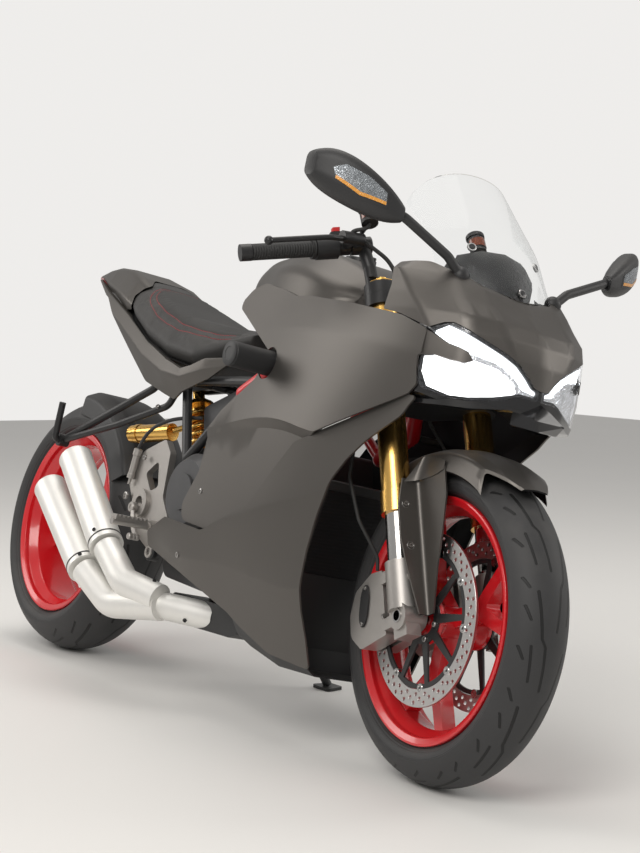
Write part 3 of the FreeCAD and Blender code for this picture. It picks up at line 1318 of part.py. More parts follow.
def radiator():
    """Cooling core in the shroud's window."""
    return side_plate([(1130, 331), (1154, 331), (1193.5, 499), (1169.5, 499)], -137, 137)


def mirrors(cowl, screen):
    """Mirror bodies on curved stems that stand on the cowl beside the screen."""
    foot, tip = vec(1446, 112, 922), vec(1400, 300, 1020)
    stem = pipe([foot, vec(1440, 150, 956), vec(1425, 250, 1002), tip], 9, 40)
    pad = Part.makeSphere(17, foot + vec(-2, 4, 6))
    shell_rows = [
        # y, x centre, z centre, half width, half height
        (262, 1422, 1006, 14, 16),
        (300, 1402, 1022, 26, 34),
        (345, 1372, 1044, 33, 42),
        (385, 1342, 1060, 30, 38),
        (410, 1324, 1066, 16, 22),
    ]
    wires = []
    for y, x, z, w, h in shell_rows:
        points = [vec(x - w, y, z - h), vec(x + w, y, z - h), vec(x + w, y, z + h), vec(x - w, y, z + h)]
        wires.append(rounded_wire(points, min(w, h) * 0.8))
    left = fuse_all([stem, pad, as_solids(loft(wires))])
    below = Part.makeBox(400, 400, 200, vec(1300, 0, 718))
    return both_sides(largest(cut_by(left, moved(cowl, 0, 0, SEAT_GAP), cowl, moved(screen, 0.3, 0, 0.2), screen, below)))


def frame_sliders():
    """Crash bobbins on the frame's bosses, standing out through the fairing on both sides."""
    base, tip = SLIDER_BASE, vec(SLIDER_BASE.x, 292, SLIDER_BASE.z)
    stem = rod(base, base + vec(0, 20, 0), 14)
    bobbin = rod(base + vec(0, 20, 0), tip, 26)
    bobbin = bobbin.makeChamfer(4, [e for e in bobbin.Edges if abs(e.CenterOfMass.y - tip.y) < 0.5])
    return both_sides(fuse_all([stem, bobbin]))


def chain():
    """One fixed loop: link plates each side of the sprocket teeth, joined by pins on the straight runs."""
    rear = vec(0, 0, REAR_TYRE_RADIUS)
    front = vec(622, 0, 410)
    r_rear = CHAIN_PITCH / (2 * math.sin(math.pi / SPROCKET_TEETH))
    r_front = CHAIN_PITCH / (2 * math.sin(math.pi / FRONT_SPROCKET_TEETH))
    line = front - rear
    distance = line.Length
    heading = math.atan2(line.z, line.x)
    slant = math.asin((r_rear - r_front) / distance)

    def belt(extra, y_from, y_to):
        ra, rb = r_rear + extra, r_front + extra
        up, down = heading + math.pi / 2 - slant, heading - math.pi / 2 + slant

        def point(centre, radius, angle):
            return vec(centre.x + radius * math.cos(angle), y_from, centre.z + radius * math.sin(angle))

        a1, b1 = point(rear, ra, up), point(front, rb, up)
        a2, b2 = point(rear, ra, down), point(front, rb, down)
        wire = Part.Wire([
            Part.LineSegment(a1, b1).toShape(),
            Part.Arc(b1, point(front, rb, heading), b2).toShape(),
            Part.LineSegment(b2, a2).toShape(),
            Part.Arc(a2, point(rear, ra, heading + math.pi), a1).toShape(),
        ])
        return Part.Face(wire).extrude(vec(0, y_to - y_from, 0))

    loops = []
    for y_from, y_to in ((SPROCKET_Y - 7.5, SPROCKET_Y - 3.3), (SPROCKET_Y + 3.3, SPROCKET_Y + 7.5)):
        loops.append(belt(CHAIN_PLATE_HALF, y_from, y_to).cut(belt(-CHAIN_PLATE_HALF, y_from - 1, y_to + 1)))
    pins = []
    for sign in (1, -1):
        angle = heading + sign * (math.pi / 2 - slant)
        start = rear + vec(math.cos(angle), 0, math.sin(angle)) * r_rear
        end = front + vec(math.cos(angle), 0, math.sin(angle)) * r_front
        run = end - start
        steps = int(run.Length / (2 * CHAIN_PITCH))
        for k in range(2, steps - 1):
            p = start + run * (k / steps)
            pins.append(rod(vec(p.x, SPROCKET_Y - 3.4, p.z), vec(p.x, SPROCKET_Y + 3.4, p.z), 5))
    return fuse_all(loops + pins)


def rear_hugger():
    """Mudguard over the front upper quarter of the rear tyre."""
    inner = REAR_TYRE_RADIUS + 14
    half = REAR_TYRE_WIDTH / 2 + 5.5
    outer = [(inner - 60, half), (inner - 14, half - 4), (inner + 3, half - 40), (inner + 3, -half + 40),
             (inner - 14, -half + 4), (inner - 60, -half)]
    inside = [(r - 3, y * (1 - 3 / half)) for r, y in reversed(outer)]
    wire = rounded_wire([vec(r, y, 0) for r, y in outer + inside], [0, 14, 40, 40, 14, 0, 0, 12, 38, 38, 12, 0])
    arch = Part.Face(wire).revolve(vec(0, 0, 0), vec(0, 1, 0), 62)
    return at_rear_axle(spun(arch, -88))


STAND_PIVOT = vec(655, 146, 300)
STAND_FOOT = vec(705, 314, 66)


def side_stand():
    """Leg from the pivot lug to a flat foot on the floor."""
    on_floor = PARKED.multVec(STAND_FOOT)
    foot = Placement(vec(on_floor.x, on_floor.y, 0), Rotation())
    pad = flat_plate([(-34, -22), (34, -22), (26, 24), (-26, 24)], 0, 7, 8)
    pad.Placement = PARKED.inverse().multiply(foot)
    ankle = PARKED.inverse().multVec(vec(on_floor.x, on_floor.y, 8))
    leg = rod(STAND_PIVOT, ankle, 10)
    knuckle = rod(STAND_PIVOT - vec(0, 12, 0), STAND_PIVOT + vec(0, 12, 0), 19)
    return fuse_all([leg, knuckle, pad]).cut(rod(STAND_PIVOT - vec(0, 20, 0), STAND_PIVOT + vec(0, 20, 0), 8.05))


def build():
    """All pieces by node name, in the bike's upright frame."""
    hump, tail_sides = tail_cowl()
    upper = fairing_upper()
    cowl = nose_cowl()
    screen = windscreen(cowl)
    housings = lamp_housings()
    pieces = {
        "front_tyre": steered(at_front_axle(tyre(FRONT_TYRE_RADIUS, FRONT_TYRE_WIDTH, FRONT_CROWN_DROP, FRONT_RIM_WIDTH))),
        "front_rim": steered(at_front_axle(front_rim())),
        "front_discs": steered(front_discs()),
        "front_disc_carriers": steered(front_disc_carriers()),
        "rear_tyre": at_rear_axle(tyre(REAR_TYRE_RADIUS, REAR_TYRE_WIDTH, REAR_CROWN_DROP, REAR_RIM_WIDTH)),
        "rear_rim": at_rear_axle(rear_rim()),
        "rear_axle": rear_axle(),
        "rear_disc": rear_disc(),
        "rear_caliper": rear_caliper(),
        "rear_sprocket": rear_sprocket(),
        "fork_tubes": steered(fork_tubes()),
        "fork_stanchions": steered(stanchions()),
        "fork_feet": steered(fork_feet()),
        "front_axle": steered(front_axle()),
        "front_calipers": steered(front_calipers()),
        "triple_clamps": steered(triple_clamps()),
        "handlebars": steered(handlebars()),
        "grips": steered(grips()),
        "switchgear": steered(switchgear()),
        "control_levers": steered(control_levers()),
        "fluid_reservoirs": steered(fluid_reservoirs()),
        "brake_hoses": steered(brake_hoses()),
        "front_fender": steered(front_fender()),
        "trellis_frame": trellis_frame(),
        "engine": engine(),
        "engine_covers": engine_covers(),
        "swingarm": swingarm(),
        "swingarm_pivot": swingarm_pivot_shaft(),
        "shock_absorber": shock_absorber(),
        "footrest_plates": footrest_plates(),
        "footrests": footrests(),
        "subframe": subframe(),
        "passenger_hangers": passenger_hangers(),
        "silencers": silencers(),
        "exhaust_collector": exhaust_collector(),
        "fairing_upper": upper,
        "fairing_lower": fairing_lower(upper),
        "nose_cowl": cowl,
        "windscreen": screen,
        "headlamps": headlamps(),
        "lamp_housings": housings,
        "dashboard": dashboard(housings),
        "fuel_tank": fuel_tank(),
        "fuel_cap": fuel_cap(),
        "seat": seat(),
        "seat_base": seat_base(),
        "seat_cowl": hump,
        "tail_panels": tail_sides,
        "inner_panels": inner_panels(),
        "radiator": radiator(),
        "mirrors": mirrors(cowl, screen),
        "frame_sliders": frame_sliders(),
        "chain": chain(),
        "rear_hugger": rear_hugger(),
        "side_stand": side_stand(),
    }
    return pieces


def in_row_frame(pieces):
    """Leans every piece, then moves all to the centre of their bounding box on the floor."""
    leaned = {}
    low, high = [1e9, 1e9], [-1e9, -1e9]
    for name, shape in pieces.items():
        copy = as_solids(shape).copy()
        copy.Placement = PARKED.multiply(copy.Placement)
        leaned[name] = copy
        for point in copy.tessellate(2.0)[0]:
            low = [min(low[0], point.x), min(low[1], point.y)]
            high = [max(high[0], point.x), max(high[1], point.y)]
    shift = vec(-(low[0] + high[0]) / 2, -(low[1] + high[1]) / 2, 0)
    for shape in leaned.values():
        shape.translate(shift)
    return leaned, shift


def main():
    os.makedirs("parts", exist_ok=True)
    leaned, _ = in_row_frame(build())
    for name, shape in leaned.items():
        shape.exportStep("parts/" + name + ".step")


if __name__ == "__main__":
    main()
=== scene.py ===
"""Dresses the frame of a parked sport motorcycle: finishes, seat, tread, lamps, discs and small parts."""

import json
import math

import bmesh
import bpy
import numpy as np
from bpy.props import FloatProperty, FloatVectorProperty, IntProperty, PointerProperty
from mathutils import Matrix, Vector
from mathutils.bvhtree import BVHTree

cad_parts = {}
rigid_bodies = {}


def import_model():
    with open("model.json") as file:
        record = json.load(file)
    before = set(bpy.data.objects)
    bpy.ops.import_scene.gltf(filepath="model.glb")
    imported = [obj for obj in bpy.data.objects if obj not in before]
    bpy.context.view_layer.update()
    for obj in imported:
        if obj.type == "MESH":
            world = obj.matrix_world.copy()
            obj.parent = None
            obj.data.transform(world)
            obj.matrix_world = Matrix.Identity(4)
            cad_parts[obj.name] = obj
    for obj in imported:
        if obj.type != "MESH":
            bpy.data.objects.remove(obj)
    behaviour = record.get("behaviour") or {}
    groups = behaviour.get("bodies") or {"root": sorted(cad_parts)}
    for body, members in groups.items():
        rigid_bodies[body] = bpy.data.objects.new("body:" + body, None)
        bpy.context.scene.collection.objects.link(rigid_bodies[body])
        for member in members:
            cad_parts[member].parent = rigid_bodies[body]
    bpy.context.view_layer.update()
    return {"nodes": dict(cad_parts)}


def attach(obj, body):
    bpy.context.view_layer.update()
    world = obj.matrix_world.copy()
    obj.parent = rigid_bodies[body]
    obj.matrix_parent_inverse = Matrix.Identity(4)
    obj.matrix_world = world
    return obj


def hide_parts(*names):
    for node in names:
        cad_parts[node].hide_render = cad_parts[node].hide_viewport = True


bl_info = {
    "name": "Parked sport motorcycle",
    "version": (1, 0, 0),
    "blender": (4, 5, 0),
    "location": "3D View > Sidebar > Motorcycle",
    "description": "Finishes, soft seat and small parts on the frame of a faired motorcycle",
    "category": "Add Mesh",
}

for left_over in list(bpy.data.objects):
    bpy.data.objects.remove(left_over)
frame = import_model()
NODES = frame["nodes"]

MM = 0.001
PER_METRE = 1000
FULL_TURN = 2 * math.pi
SIDES = (-1, 1)
# Places that turn the bike's upright millimetres into the parked pose: lean on the stand, then rake and
# steering.
LEANED = Matrix.Translation((-0.731013, -0.206513, 0.002249)) @ Matrix.Rotation(math.radians(-12), 4, "X")
FORK = (LEANED @ Matrix.Translation((1.569, 0, 0)) @ Matrix.Rotation(math.radians(-24), 4, "Y")
        @ Matrix.Rotation(math.radians(-5), 4, "Z"))
FRONT_WHEEL = FORK @ Matrix.Translation((0.038888, 0, 0.311077))
REAR_WHEEL = LEANED @ Matrix.Translation((0, 0, 0.315))
BAR_INNER, BAR_OUTER = Vector((-4, 112, 1092)), Vector((-80, 346, 1057))


def at(place, x, y, z):
    """A point given in millimetres of one of the places above, in the scene's metres."""
    return place @ (Vector((x, y, z)) * MM)


def around(radius, angle):
    """A point on a circle about the origin."""
    return radius * math.cos(angle), radius * math.sin(angle)


def aimed(place, origin, direction):
    """A place whose Z axis runs along direction, both given in millimetres of the outer place."""
    heading = (place.to_3x3() @ Vector(direction)).normalized()
    return Matrix.Translation(at(place, *origin)) @ heading.to_track_quat("Z", "Y").to_matrix().to_4x4()


def ring_places(place, centre, radius, y, count, start):
    """Places spaced evenly on a circle in the X-Z plane, each looking out along Y; start is in radians."""
    for k in range(count):
        x, z = around(radius, FULL_TURN * k / count + start)
        yield aimed(place, (centre[0] + x, y, centre[1] + z), (0, math.copysign(1, y), 0))


def along_bar(share, side=1):
    """A point along the handlebar, from its inner end to its outer end."""
    point = BAR_INNER.lerp(BAR_OUTER, share)
    return Vector((point.x, side * point.y, point.z))


# Sizes, colours and light that a user would change.


class MOTORCYCLE_PG_colours(bpy.types.PropertyGroup):
    """Colours of the painted, plated and sewn surfaces."""

    body_paint: FloatVectorProperty(
        name="Body paint", description="Matte metallic paint of fairing, tank and tail",
        subtype="COLOR", default=(0.118, 0.110, 0.102), min=0, max=1)
    wheel_paint: FloatVectorProperty(
        name="Wheel paint", description="Paint of wheels and frame",
        subtype="COLOR", default=(0.60, 0.010, 0.016), min=0, max=1)
    fork_gold: FloatVectorProperty(
        name="Fork gold", description="Anodised colour of fork tubes and shock",
        subtype="COLOR", default=(0.86, 0.52, 0.15), min=0, max=1)
    thread: FloatVectorProperty(
        name="Seat thread", description="Thread of the seat's seams",
        subtype="COLOR", default=(0.50, 0.03, 0.04), min=0, max=1)
    seat_cover: FloatVectorProperty(
        name="Seat cover", description="Grained cover of the seat",
        subtype="COLOR", default=(0.030, 0.029, 0.028), min=0, max=1)


class MOTORCYCLE_PG_sizes(bpy.types.PropertyGroup):
    """Sizes of the small parts that are made here."""

    stitch_pitch: FloatProperty(
        name="Stitch pitch", description="Distance from stitch to stitch",
        default=0.0065, min=0.003, unit="LENGTH")
    seam_depth: FloatProperty(
        name="Seam depth", description="How far the cover is pulled in along a seam",
        default=0.0024, min=0, unit="LENGTH")
    pad_swell: FloatProperty(
        name="Pad swell", description="Most that the simulated pad may move",
        default=0.006, min=0, unit="LENGTH")
    drill_radius: FloatProperty(
        name="Drill radius", description="Radius of the holes in the brake discs",
        default=0.0040, min=0.001, unit="LENGTH")
    drill_groups: IntProperty(
        name="Drill groups", description="Groups of holes round a disc", default=30, min=6)
    spring_turns: IntProperty(
        name="Spring turns", description="Turns of the shock's spring", default=7, min=3)
    tread_depth: FloatProperty(
        name="Tread depth", description="Depth of the grooves in the tyres",
        default=0.004, min=0, unit="LENGTH")


class MOTORCYCLE_PG_stage(bpy.types.PropertyGroup):
    """Floor, backdrop and light."""

    floor: FloatVectorProperty(
        name="Floor", description="Colour of floor and backdrop",
        subtype="COLOR", default=(0.80, 0.79, 0.77), min=0, max=1)
    key_power: FloatProperty(
        name="Key light", description="Power of the large soft light", default=115.0, min=0, unit="POWER")
    fill_power: FloatProperty(
        name="Fill light", description="Power of the light on the shaded side",
        default=42.0, min=0, unit="POWER")
    sky: FloatProperty(
        name="Sky", description="Strength of the even light all round", default=0.45, min=0)


# Mesh tools

WELD = 2e-6


def add_turned(bm, place, profile, segments=24, slot=0):
    """Adds a form turned about the place's Z axis from (radius, height) pairs in millimetres."""
    rings = []
    for radius, height in profile:
        spots = [around(radius, FULL_TURN * k / segments) for k in range(segments if radius else 1)]
        rings.append([bm.verts.new(at(place, x, y, height)) for x, y in spots])
    for low, high in zip(rings, rings[1:]):
        for k in range(segments):
            n = k + 1
            corners = [low[k % len(low)], low[n % len(low)], high[n % len(high)], high[k % len(high)]]
            corners = list(dict.fromkeys(corners))
            if len(corners) > 2:
                bm.faces.new(corners).material_index = slot


def add_bolt(bm, place, radius, height, slot=0):
    """A socket-head bolt whose seat lies at the place's origin."""
    add_turned(bm, place, [
        (0, -1), (radius, -1), (radius, height * 0.8), (radius * 0.86, height), (radius * 0.56, height),
        (radius * 0.5, height * 0.35), (0, height * 0.35)], 18, slot)


def add_slab(bm, place, outline, low, high, slot=0):
    """Adds a plate from an outline of (x, y) points in the place's plane, between two heights."""
    floors = [[bm.verts.new(at(place, x, y, z)) for x, y in outline] for z in (low, high)]
    faces = [floors[0][::-1], floors[1]]
    for k in range(len(outline)):
        n = (k + 1) % len(outline)
        faces.append([floors[0][k], floors[0][n], floors[1][n], floors[1][k]])
    for corners in faces:
        bm.faces.new(corners).material_index = slot


def take_mesh(bm, mesh):
    """Moves a mesh's faces into a bmesh."""
    bm.from_mesh(mesh)
    bpy.data.meshes.remove(mesh)


def curve_mesh(curve):
    """Turns a curve into a mesh and removes the curve."""
    holder = bpy.data.objects.new("curve", curve)
    made = bpy.data.meshes.new_from_object(holder)
    bpy.data.objects.remove(holder)
    bpy.data.curves.remove(curve)
    return made


def add_cable(bm, place, points, radius):
    """Adds a round cable of a radius in metres along a smooth curve through a place's points."""
    curve = bpy.data.curves.new("cable", "CURVE")
    curve.dimensions = "3D"
    curve.bevel_depth, curve.bevel_resolution = radius, 3
    curve.use_fill_caps = True
    curve.resolution_u = 8
    spline = curve.splines.new("NURBS")
    spline.points.add(len(points) - 1)
    for spot, point in zip(spline.points, points):
        spot.co = (*at(place, *point), 1)
    spline.order_u = 3
    spline.use_endpoint_u = True
    take_mesh(bm, curve_mesh(curve))


def shown(bm, name, finishes, body, sharp=35.0, weld=True, thickness=0.0):
    """Turns a bmesh into a smooth-shaded piece that rides on a body; finishes are names, with spaces."""
    if weld:
        bmesh.ops.remove_doubles(bm, verts=bm.verts, dist=WELD)
    bmesh.ops.recalc_face_normals(bm, faces=bm.faces)
    limit = math.radians(sharp)
    for edge in bm.edges:
        edge.smooth = edge.calc_face_angle(math.pi) < limit
    for face in bm.faces:
        face.smooth = True
    mesh = bpy.data.meshes.new(name)
    bm.to_mesh(mesh)
    bm.free()
    if not mesh.polygons:
        raise RuntimeError(f"{name} has no faces")
    for label in finishes.split():
        mesh.materials.append(MATERIALS[label])
    piece = bpy.data.objects.new(name, mesh)
    bpy.context.scene.collection.objects.link(piece)
    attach(piece, body)
    if thickness:
        piece.modifiers.new("thickness", "SOLIDIFY").thickness = thickness
    return piece


def node_mesh(node, place):
    """A node's own mesh, welded, in metres of a place."""
    bm = bmesh.new()
    bm.from_mesh(NODES[node].data)
    bmesh.ops.remove_doubles(bm, verts=bm.verts, dist=1e-5)
    bmesh.ops.transform(bm, matrix=place.inverted(), verts=bm.verts)
    bm.normal_update()
    return bm


def add_skin(bm, node, facing, least, outline, lift, slot=0, behind=math.inf):
    """Adds a thin sheet that follows a node's surface inside a convex outline.

    The faces it follows look along X, or against it where facing is -1, and lie behind an x in metres. The
    least share of their normal along that way is least. The outline's points are (y, z), and lift is how far
    the sheet stands off, both in upright millimetres."""
    part = node_mesh(node, LEANED)
    away = [f for f in part.faces if f.normal.x * facing < least or f.calc_center_median().x >= behind]
    bmesh.ops.delete(part, geom=away, context="FACES")
    centre = Vector([sum(p[k] for p in outline) / len(outline) for k in range(2)])
    for a, b in zip(outline, outline[1:] + outline[:1]):
        run = Vector(b) - Vector(a)
        out = Vector((run.y, -run.x))
        if out.dot(centre - Vector(a)) > 0:
            out = -out
        bmesh.ops.bisect_plane(
            part, geom=part.verts[:] + part.edges[:] + part.faces[:], plane_co=(0, a[0] * MM, a[1] * MM),
            plane_no=(0, *out), clear_outer=True, dist=1e-6)
    if not part.faces:
        raise RuntimeError(f"no face of {node} lies inside the outline")
    part.normal_update()
    for vert in part.verts:
        vert.co += vert.normal * lift * MM
    for face in part.faces:
        face.material_index = slot
    bmesh.ops.transform(part, matrix=LEANED, verts=part.verts)
    sheet = bpy.data.meshes.new("sheet")
    part.to_mesh(sheet)
    part.free()
    take_mesh(bm, sheet)


# Shader tools. Each finds its tree from the sockets that it is given.

GROUPS = {}
MATERIALS = {}
VECTOR_SCALE_SOCKET = 3
DUST_COLOUR = (0.36, 0.33, 0.29, 1)
# Near-black that the inner face of a shell is given
INNER_FACE_BLACK = (0.012, 0.012, 0.013, 1)
# Painted shade: near-black painted into the tyres' tread grooves, which are only a bump
GROOVE_PAINTED_SHADE = (0.002, 0.002, 0.002, 1)
INNER_LIMIT, INNER_GLOSS = -0.12, 0.62
GROOVE_FLOOR, GROOVE_EDGE = 0.75, 1.15
TREAD_START, TREAD_FULL = 0.004, 0.008
RIB_TOP, RIB_FOOT, RIB_HEIGHT_SHARE = 0.0006, 0.0014, 0.15


def feed(socket, value):
    """Links a socket into an input, or sets a plain value there."""
    if isinstance(value, bpy.types.NodeSocket):
        socket.id_data.links.new(value, socket)
    elif value is not None:
        socket.default_value = value


def add_node(tree, kind, inputs=(), **settings):
    """A new shader node; inputs pairs the names or numbers of its sockets with what feeds them."""
    node = tree.nodes.new("ShaderNode" + kind)
    for name, value in settings.items():
        setattr(node, name, value)
    for label, value in inputs:
        feed(node.inputs[label], value)
    return node


def maths(operation, *values, clamp=False):
    """A math node on sockets and numbers; gives its output socket."""
    tree = next(value.id_data for value in values if isinstance(value, bpy.types.NodeSocket))
    return add_node(tree, "Math", enumerate(values), operation=operation, use_clamp=clamp).outputs[0]


def plus(first, second, clamp=False):
    return maths("ADD", first, second, clamp=clamp)


def minus(first, second):
    return maths("SUBTRACT", first, second)


def times(first, second, clamp=False):
    return maths("MULTIPLY", first, second, clamp=clamp)


def largest(values):
    """The largest of several sockets' values."""
    total = values[0]
    for value in values[1:]:
        total = maths("MAXIMUM", total, value)
    return total


def vectors(operation, first, second=None, scale=None):
    """A vector math node; gives its value for a dot product or a length, and else its vector."""
    inputs = ((0, first), (1, second), (VECTOR_SCALE_SOCKET, scale))
    node = add_node(first.id_data, "VectorMath", inputs, operation=operation)
    return node.outputs[1 if operation in ("DOT_PRODUCT", "LENGTH") else 0]


def blended(share, first, second):
    """A colour mix; gives its colour output."""
    inputs = ((0, share), (6, first), (7, second))
    return add_node(share.id_data, "Mix", inputs, data_type="RGBA").outputs[2]


def smooth_step(value, low, high):
    """From 0 below low to 1 above high, eased."""
    inputs = (("Value", value), ("From Min", low), ("From Max", high))
    return add_node(value.id_data, "MapRange", inputs, interpolation_type="SMOOTHSTEP").outputs[0]


def noise(vector, scale, detail=3.0, roughness=0.55):
    """Soft noise over a vector's space."""
    inputs = (("Vector", vector), ("Scale", scale), ("Detail", detail), ("Roughness", roughness))
    return add_node(vector.id_data, "TexNoise", inputs).outputs["Fac"]


def own_space(tree):
    """The point's place in its object's own space."""
    return add_node(tree, "TexCoord").outputs["Object"]


def waves(tree, direction, scale):
    """Parallel bands over an object's own space."""
    inputs = (("Vector", own_space(tree)), ("Scale", scale))
    return add_node(tree, "TexWave", inputs, bands_direction=direction).outputs["Fac"]


def feed_shader(tree, values):
    """Feeds sockets or values into the material's shader, by the names of its inputs."""
    for label, value in values.items():
        feed(tree.nodes["Principled BSDF"].inputs[label], value)


def add_bump(tree, height, distance):
    """Raises the surface's relief by a height, over a distance in metres."""
    bump = add_node(tree, "Bump", (("Height", height), ("Distance", distance)))
    feed_shader(tree, {"Normal": bump.outputs[0]})


# Shader groups that the finishes share


def shader_group(name, inputs, outputs):
    """A new node group with its sockets, from the inputs' defaults and the outputs' kinds.

    Gives the group, the sockets that its nodes read, and those that they fill."""
    group = GROUPS[name] = bpy.data.node_groups.new(name, "ShaderNodeTree")
    for label, value in inputs.items():
        kind = "Vector" if value is None else "Color" if isinstance(value, tuple) else "Float"
        socket = group.interface.new_socket(label, in_out="INPUT", socket_type="NodeSocket" + kind)
        if value is not None:
            socket.default_value = value
    for label, kind in outputs.items():
        group.interface.new_socket(label, in_out="OUTPUT", socket_type="NodeSocket" + kind)
    return group, group.nodes.new("NodeGroupInput").outputs, group.nodes.new("NodeGroupOutput").inputs


def cloudy_group():
    """Slow change of shade and gloss over a surface, with dust that settles where it looks up."""
    group, given, made = shader_group(
        "cloudy_surface", {"Colour": (0.5, 0.5, 0.5, 1), "Scale": 6.0, "Shade": 0.12, "Gloss": 0.4,
                           "Gloss Spread": 0.08, "Dust": 0.0}, {"Colour": "Color", "Roughness": "Float"})
    spot = own_space(group)
    broad = noise(spot, given["Scale"])
    fine = noise(spot, times(given["Scale"], 9.0), 2.0)
    swing = minus(plus(times(broad, 0.7), times(fine, 0.3)), 0.5)
    factor = plus(times(swing, times(given["Shade"], 2.0)), 1.0)
    tinted = vectors("SCALE", given["Colour"], scale=factor)
    up = vectors("DOT_PRODUCT", add_node(group, "NewGeometry").outputs["Normal"], (0, 0, 1))
    settled = times(smooth_step(up, 0.2, 0.95), smooth_step(broad, 0.35, 0.7))
    dust = times(settled, given["Dust"], clamp=True)
    feed(made["Colour"], blended(dust, tinted, DUST_COLOUR))
    gloss = plus(given["Gloss"], times(swing, given["Gloss Spread"]))
    feed(made["Roughness"], plus(gloss, times(dust, 0.3), clamp=True))


def grain_group():
    """Fine grain of castings, moulded plastic and leather, as a height."""
    group, given, made = shader_group("fine_grain", {"Scale": 400.0, "Cells": 0.0}, {"Height": "Float"})
    spot = own_space(group)
    speckle = noise(spot, given["Scale"], 4.0, 0.6)
    inputs = (("Vector", spot), ("Scale", given["Scale"]))
    cells = add_node(group, "TexVoronoi", inputs, feature="DISTANCE_TO_EDGE")
    creases = smooth_step(cells.outputs["Distance"], 0.0, 0.16)
    kept = times(speckle, minus(1.0, given["Cells"]))
    feed(made["Height"], plus(kept, times(creases, given["Cells"])))


def inner_group():
    """Finds the inner face of a shell: 1 where the surface looks back towards the bike's middle."""
    group, given, made = shader_group(
        "inner_face", {"Across": 1.0, "Ahead": 0.0, "Above": 0.0}, {"Mask": "Float"})
    place = add_node(group, "TexCoord").outputs
    side, up = (LEANED.to_3x3() @ Vector(way) for way in ((0, 1, 0), (0, 0, 1)))
    reach = vectors("DOT_PRODUCT", place["Object"], tuple(side))
    which = maths("SIGN", minus(reach, LEANED.translation.dot(side)))
    across, ahead, above = (
        vectors("DOT_PRODUCT", place["Normal"], tuple(way)) for way in (side, (1, 0, 0), up))
    total = times(times(across, which), given["Across"])
    total = plus(total, times(ahead, given["Ahead"]))
    total = plus(total, times(above, given["Above"]))
    feed(made["Mask"], maths("LESS_THAN", total, INNER_LIMIT))


def groove_group():
    """One straight groove in a repeating tread: 1 in the groove, 0 beside it."""
    _, given, made = shader_group(
        "tread_groove", {"Point": None, "Start": None, "End": None, "Half Width": 1.4}, {"Mask": "Float"})
    run = vectors("SUBTRACT", given["End"], given["Start"])
    reach = vectors("SUBTRACT", given["Point"], given["Start"])
    share = maths(
        "DIVIDE", vectors("DOT_PRODUCT", reach, run), vectors("DOT_PRODUCT", run, run), clamp=True)
    distance = vectors("LENGTH", vectors("SUBTRACT", reach, vectors("SCALE", run, scale=share)))
    floor, edge = (times(given["Half Width"], share) for share in (GROOVE_FLOOR, GROOVE_EDGE))
    feed(made["Mask"], minus(1.0, smooth_step(distance, floor, edge)))


def placed_group(tree, name, **values):
    """Puts a shared group into a tree; values are numbers, colours or sockets by the input's name."""
    node = tree.nodes.new("ShaderNodeGroup")
    node.node_tree = GROUPS[name]
    for label, value in values.items():
        feed(node.inputs[label.replace("_", " ")], value)
    return node.outputs


# Finishes


def finish(name, colour, gloss, metallic=0.0, spread=0.06, shade=0.10, scale=7.0, dust=0.0, grain=0.0,
           grain_scale=500.0, cells=0.0, inner=None, coat=0.0, coat_gloss=0.1):
    """A surface with cloudy shade, gloss and fine grain; inner weights paint a shell's inner face black."""
    material = MATERIALS[name] = bpy.data.materials.new(name)
    material.use_nodes = True
    material.diffuse_color = (*colour, 1)
    tree = material.node_tree
    cloud = placed_group(tree, "cloudy_surface", Colour=(*colour, 1), Scale=scale, Shade=shade, Gloss=gloss,
                         Gloss_Spread=spread, Dust=dust)
    tone, rough = cloud["Colour"], cloud["Roughness"]
    if inner:
        mask = placed_group(tree, "inner_face", Across=inner[0], Ahead=inner[1], Above=inner[2])["Mask"]
        tone = blended(mask, tone, INNER_FACE_BLACK)
        rough = largest([rough, times(mask, INNER_GLOSS)])
    feed_shader(tree, {"Base Color": tone, "Roughness": rough, "Metallic": metallic, "Coat Weight": coat,
                       "Coat Roughness": coat_gloss})
    if grain:
        height = placed_group(tree, "fine_grain", Scale=grain_scale, Cells=cells)["Height"]
        add_bump(tree, height, grain * MM)
    return tree


def clear_finish(name, colour, rough, ior):
    """A clear moulding with a faint change of gloss."""
    tree = finish(name, colour, rough, spread=0.02, shade=0.03, scale=4.0)
    feed_shader(tree, {"Transmission Weight": 1.0, "IOR": ior})


def glowing_finish(name, colour, strength):
    """A lit lamp surface with faint vertical flutes."""
    tree = finish(name, (0.9, 0.9, 0.9), 0.3, shade=0.04)
    low = (colour[0] * 0.9, colour[1] * 0.92, colour[2] * 0.95, 1)
    tone = blended(waves(tree, "Y", 40.0), low, (*colour, 1))
    feed_shader(tree, {"Emission Color": tone, "Emission Strength": strength})


def striped_finish(name, colour, gloss, metallic, direction, scale, depth):
    """A surface with close parallel fins or ribs."""
    tree = finish(name, colour, gloss, metallic)
    add_bump(tree, waves(tree, direction, scale), depth * MM)


